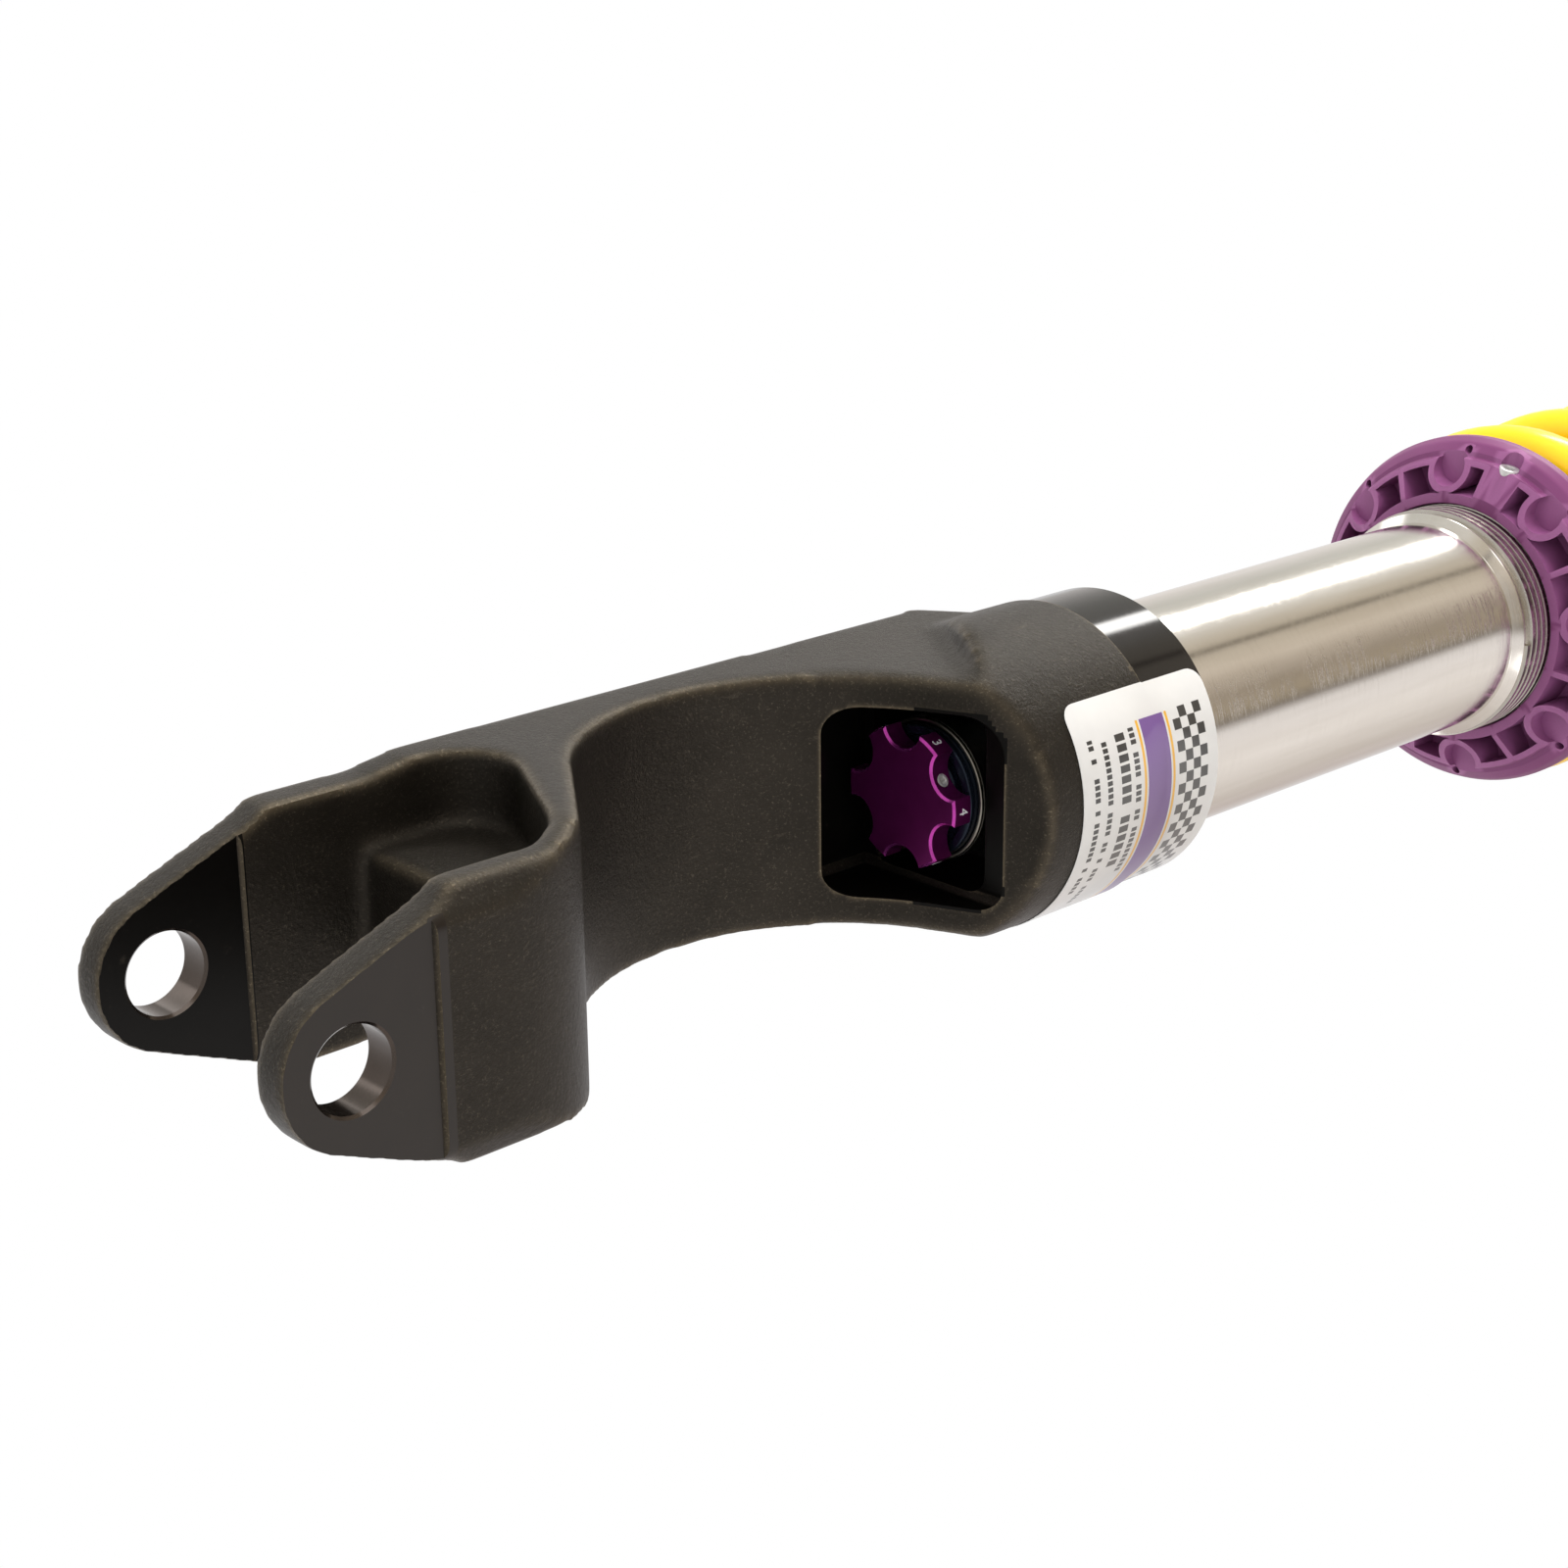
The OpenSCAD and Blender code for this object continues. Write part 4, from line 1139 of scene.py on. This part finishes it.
def mount_ribs(z, flange, r):
    """A rib under the flange between each pair of ears, sloped to the housing's foot."""
    ribs = []
    for a in LUGS:
        rib = block(r - 3, LUG_AT - 4, -2.5, 2.5, z + 4, flange + 1, 0.8)
        slope = turned([(0, z), (r + 0.5, z), (r + 6.5, flange + 1), (0, flange + 1)], 48)
        ribs.append(eased(cut(placed(rib, turn=a + 60), slope, "INTERSECT"), 0.5, 2))
    return ribs


def build_mount():
    """The cast housing, the rubber bushing in it and the painted cap on top."""
    z, top = low("mount_housing").z, high("mount_housing").z
    flange, thick, r = top - 14, 7, 36
    bore, cup_r, cup_z = 19.5, 26, z + 5.5
    body = turned([(bore, z, 0.5), (r, z, 1.5), (r, flange, 3), (r + 4, flange + 1, 0.5),
                   (r + 4, flange + thick - 1, 0.5), (r, flange + thick, 3), (r, top, 1.8),
                   (cup_r, top, 0.6), (cup_r, cup_z, 0.6), (bore, cup_z, 0.5)], 144)
    casting = together(body, mount_flange(flange, flange + thick), *mount_ribs(z, flange, r))
    dress("mount_housing", casting, CAST, crease=45)
    sleeve_r, lip, dish = 10.2, top - 3, top - 5
    rubber = turned([(sleeve_r, cup_z, 0.5), (cup_r, cup_z, 0.8), (cup_r, lip, 0.8), (24.5, lip, 0.8),
                     (20, dish, 2), (15, dish, 2), (11.5, lip, 0.8), (sleeve_r, lip, 0.3)])
    dress("mount_bushing", rubber, RUBBER, crease=60)
    dress("mount_cap", collar(24, 35, top, top + 2, 0.7), BLACK_PAINT)


def build_rod_nut():
    """The flanged nut on the rod, chamfered at its corners, and the washers on each side of the bushing."""
    z = low("rod_nut").z
    corner = 19.0 / 2 / cos(radians(30))
    hexagon = prism(arc(0, 0, corner, 0, 300, 5), z + 0.1, z + 12)
    bore = 6.1
    chamfers = turned([(bore, z), (12, z), (12, z + 8.9), (9.4, z + 10), (7.0, z + 10), (bore, z + 9.2)], 72)
    nut = eased(cut(hexagon, chamfers, "INTERSECT"), 0.25, 2, 25)
    dress("rod_nut", together(nut, collar(bore, 13, z, z + 1.5, 0.5, 72)), ZINC, crease=30)
    for washer, r in (("lower_washer", 18.5), ("upper_washer", 22)):
        dress(washer, collar(6.05, r, low(washer).z, high(washer).z, 0.6), ZINC)


def build_studs():
    """Three pressed-in studs with round heads under the ears."""
    z, top = low("mount_studs").z, high("mount_studs").z
    head, neck, root, crest = 7.5, 4.4, 3.55, 4.0
    studs = []
    for a in LUGS:
        bolt = turned([(0, z), (head, z, 0.6), (head, z + 3, 0.4), (neck, z + 3, 0.2), (neck, z + 10.8, 0.3),
                       (root, z + 11.4, 0.2), (root, top - 0.6, 0.2), (3.1, top, 0.2), (0, top)], 48)
        thread = helix_ridge(root, crest, 1.25, z + 12.6, top - 1.2, 24)
        studs.append(placed(together(bolt, thread), x=LUG_AT, turn=a))
    dress("mount_studs", together(*studs), ZINC)


def build_dial():
    """The fluted rebound dial, dished on top and bored for its control rod and grub screw."""
    z, top, r = low("rebound_dial").z, high("rebound_dial").z, high("rebound_dial").x
    flute_turn = 15
    dial = placed(star(r, 12, 2.0, r + 1.1, z, top, 0.4), turn=flute_turn)
    dial = cut(dial, placed(rod(6.2, 4, 64), z=top - 0.8))
    dial = cut(dial, placed(rod(high("control_rod").x + 0.15, 7, 32), z=z - 1))
    dial = cut(dial, placed(rod(1.5, 12, 24), tip=90, x=4, z=z + 4, turn=flute_turn))
    obj = dress("rebound_dial", dial, ANODISED, "rebound_adjuster", 25)
    obj.data.materials.append(BRIGHT_CUT)


# ---------------------------------------------------------------------------- CAD nodes that stay

KEPT = {
    "pressure_tube": STEEL, "base_cap": ALLOY, "foot_valve_body": SINTER, "foot_valve_shims": SPRING_STEEL,
    "foot_valve_bolt": OXIDE, "detent_ball": BALL, "detent_spring": SPRING_STEEL, "rod_guide": ALLOY,
    "guide_bush": BRONZE, "rod_seal": SEAL, "rod_wiper": SEAL, "compression_needle": STEEL,
    "slip_ring": NYLON, "locking_pad": NATURAL, "piston_rod": CHROME, "piston": SINTER,
    "piston_band": PTFE, "compression_shims": SPRING_STEEL, "rebound_shims": SPRING_STEEL,
    "backing_washer": OXIDE, "piston_nut": OXIDE, "rebound_stop": URETHANE, "bump_cup": PLASTIC,
    "bushing_sleeve": STEEL, "dial_screw": SCREW, "control_rod": STEEL}


def finish_kept():
    """Gives the CAD nodes that stay visible their finishes."""
    for node, finish in KEPT.items():
        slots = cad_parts[node].data.materials
        slots.clear()
        slots.append(finish)


# ---------------------------------------------------------------------------- studio

# The camera looks up at the strut from below its fork. Metres, and directions of the view
LENS = 63.36
CAMERA_AT = (0.36053, -0.17855, -0.21736)
CAMERA_RIGHT = (0.68605, 0.00960, 0.72749)
CAMERA_BACK = (0.69087, -0.32208, -0.64727)
FLOOR_Z = -1.6
FLOOR_R = 60.0
STRUT_MIDDLE = Vector((0, 0, 0.3))


def build_camera():
    camera = bpy.data.cameras.new("camera")
    camera.sensor_width = 36
    camera.lens = LENS
    camera.clip_start = 0.01
    camera.clip_end = 50
    holder = bpy.data.objects.new("camera", camera)
    bpy.context.scene.collection.objects.link(holder)
    back = Vector(CAMERA_BACK).normalized()
    up = back.cross(Vector(CAMERA_RIGHT).normalized()).normalized()
    turn = Matrix((up.cross(back), up, back)).transposed()
    holder.matrix_world = Matrix.Translation(CAMERA_AT) @ turn.to_4x4()
    bpy.context.scene.camera = holder


def build_floor():
    """A pale floor far below the strut, wide enough that no view shows its edge."""
    bm = bmesh.new()
    bmesh.ops.create_circle(bm, cap_ends=True, segments=96, radius=FLOOR_R)
    bmesh.ops.translate(bm, vec=(0, 0, FLOOR_Z), verts=bm.verts)
    mesh = bpy.data.meshes.new("floor")
    bm.to_mesh(mesh)
    bm.free()
    f = Finish("pale_floor")
    mesh.materials.append(f.set(Base_Color=(0.90, 0.93, 0.97), Roughness=0.9,
                                Emission_Color=(0.80, 0.88, 1.0), Emission_Strength=0.10))
    floor_obj = bpy.data.objects.new("floor", mesh)
    bpy.context.scene.collection.objects.link(floor_obj)
    floor_obj.visible_glossy = False


def at(angle):
    """An azimuth in degrees as a place from 0 to 1 round the studio."""
    return (angle + 180) / 360


# What the polished tube mirrors, as azimuth and radiance: warm side walls, dark gaps, a bright wall
WALLS = [(-165, (0.89, 0.85, 0.82)), (-138, (0.68, 0.67, 0.62)), (-92, (0.80, 0.77, 0.71)),
         (-80, (0.67, 0.61, 0.51)), (-71, (0.62, 0.55, 0.44)), (-67, (0.12, 0.10, 0.08)),
         (-63, (0.62, 0.55, 0.44)), (-46, (0.75, 0.66, 0.55)), (-24, (0.40, 0.34, 0.27)),
         (-8, (0.44, 0.37, 0.27)), (2, (0.22, 0.19, 0.16)), (10, (0.96, 0.92, 0.90)),
         (42, (1.02, 0.97, 0.93)), (81, (0.74, 0.68, 0.63)), (105, (0.66, 0.59, 0.56)),
         (138, (0.86, 0.85, 0.86)), (180, (0.93, 0.92, 0.91))]
STRIP_LIGHTS = (-150, -60, 30, 120)


def build_surroundings():
    """White where the camera looks past the strut, and walls and lights for its surfaces to mirror."""
    world = bpy.data.worlds.new("studio")
    bpy.context.scene.world = world
    w = Finish("studio", world)
    direction = w.node("ShaderNodeTexCoord", output=0)
    x, y, z = (w.part(direction, axis) for axis in "XYZ")
    turn = w.bearing(x, y) * (0.5 / pi) + 0.5
    walls = w.node("ShaderNodeValToRGB", {"stops": [(at(a), radiance) for a, radiance in WALLS]}, {0: turn})

    def band(value, start, full, fading, end):
        """1 between full and fading, and 0 outside start and end."""
        return value.smooth(start, full) * (1 - value.smooth(fading, end))

    # Dull surfaces see a dim ground, polished ones a pale table and upright strip lights at eye level
    dull = w.mix(z.smooth(-0.55, 0.15), (0.22, 0.21, 0.20), walls)
    shiny = w.mix(z.smooth(-0.75, -0.45), (0.62, 0.60, 0.57), walls)
    strips = sum(band(turn, at(a - 9), at(a - 6), at(a + 6), at(a + 9)) for a in STRIP_LIGHTS)
    shiny = w.mix(strips * band(z, -0.50, -0.42, 0.30, 0.40), shiny, (2.0, 1.97, 1.93))
    glossy = w.node("ShaderNodeLightPath", output=3)
    shade = w.mix(glossy, dull, shiny)
    panel = band(turn, at(-116), at(-111), at(-104), at(-99)) * band(z, 0.40, 0.50, 0.86, 0.94)
    shade = w.mix(panel, shade, (14.0, 13.8, 13.4))
    seen = w.node("ShaderNodeLightPath", output=0)
    background = w.tree.nodes["Background"]
    w.feed(background.inputs["Color"], w.mix(seen, shade, (1.0, 1.0, 1.0)))
    background.inputs["Strength"].default_value = 1.0


def softbox(name, place, size, power, colour=(1, 1, 1)):
    """A soft lamp that faces the middle of the strut from a place about it. Metres and watts."""
    lamp = bpy.data.lights.new(name, "AREA")
    lamp.shape = "RECTANGLE"
    lamp.size = size
    lamp.size_y = size
    lamp.energy = power
    lamp.color = colour
    obj = bpy.data.objects.new(name, lamp)
    bpy.context.scene.collection.objects.link(obj)
    obj.location = STRUT_MIDDLE + Vector(place)
    obj.rotation_euler = (-Vector(place)).to_track_quat("-Z", "Y").to_euler()
    obj.visible_camera = False
    obj.visible_glossy = False


def build_lamps():
    softbox("key", (0.1, -1.4, 0.1), 0.9, 19)
    softbox("fill", (1.3, -0.4, -0.9), 1.2, 2, (1.0, 0.96, 0.92))
    softbox("rear", (-1.2, 0.9, 0.9), 1.2, 8)


build_fork()
build_tube()
build_label()
build_knob()
build_digits()
build_housing()
build_perch()
build_spring()
build_gland()
build_bump_stop()
build_spring_plate()
build_mount()
build_rod_nut()
build_studs()
build_dial()
finish_kept()

bpy.context.scene.view_settings.view_transform = "Standard"
build_camera()
build_floor()
build_surroundings()
build_lamps()
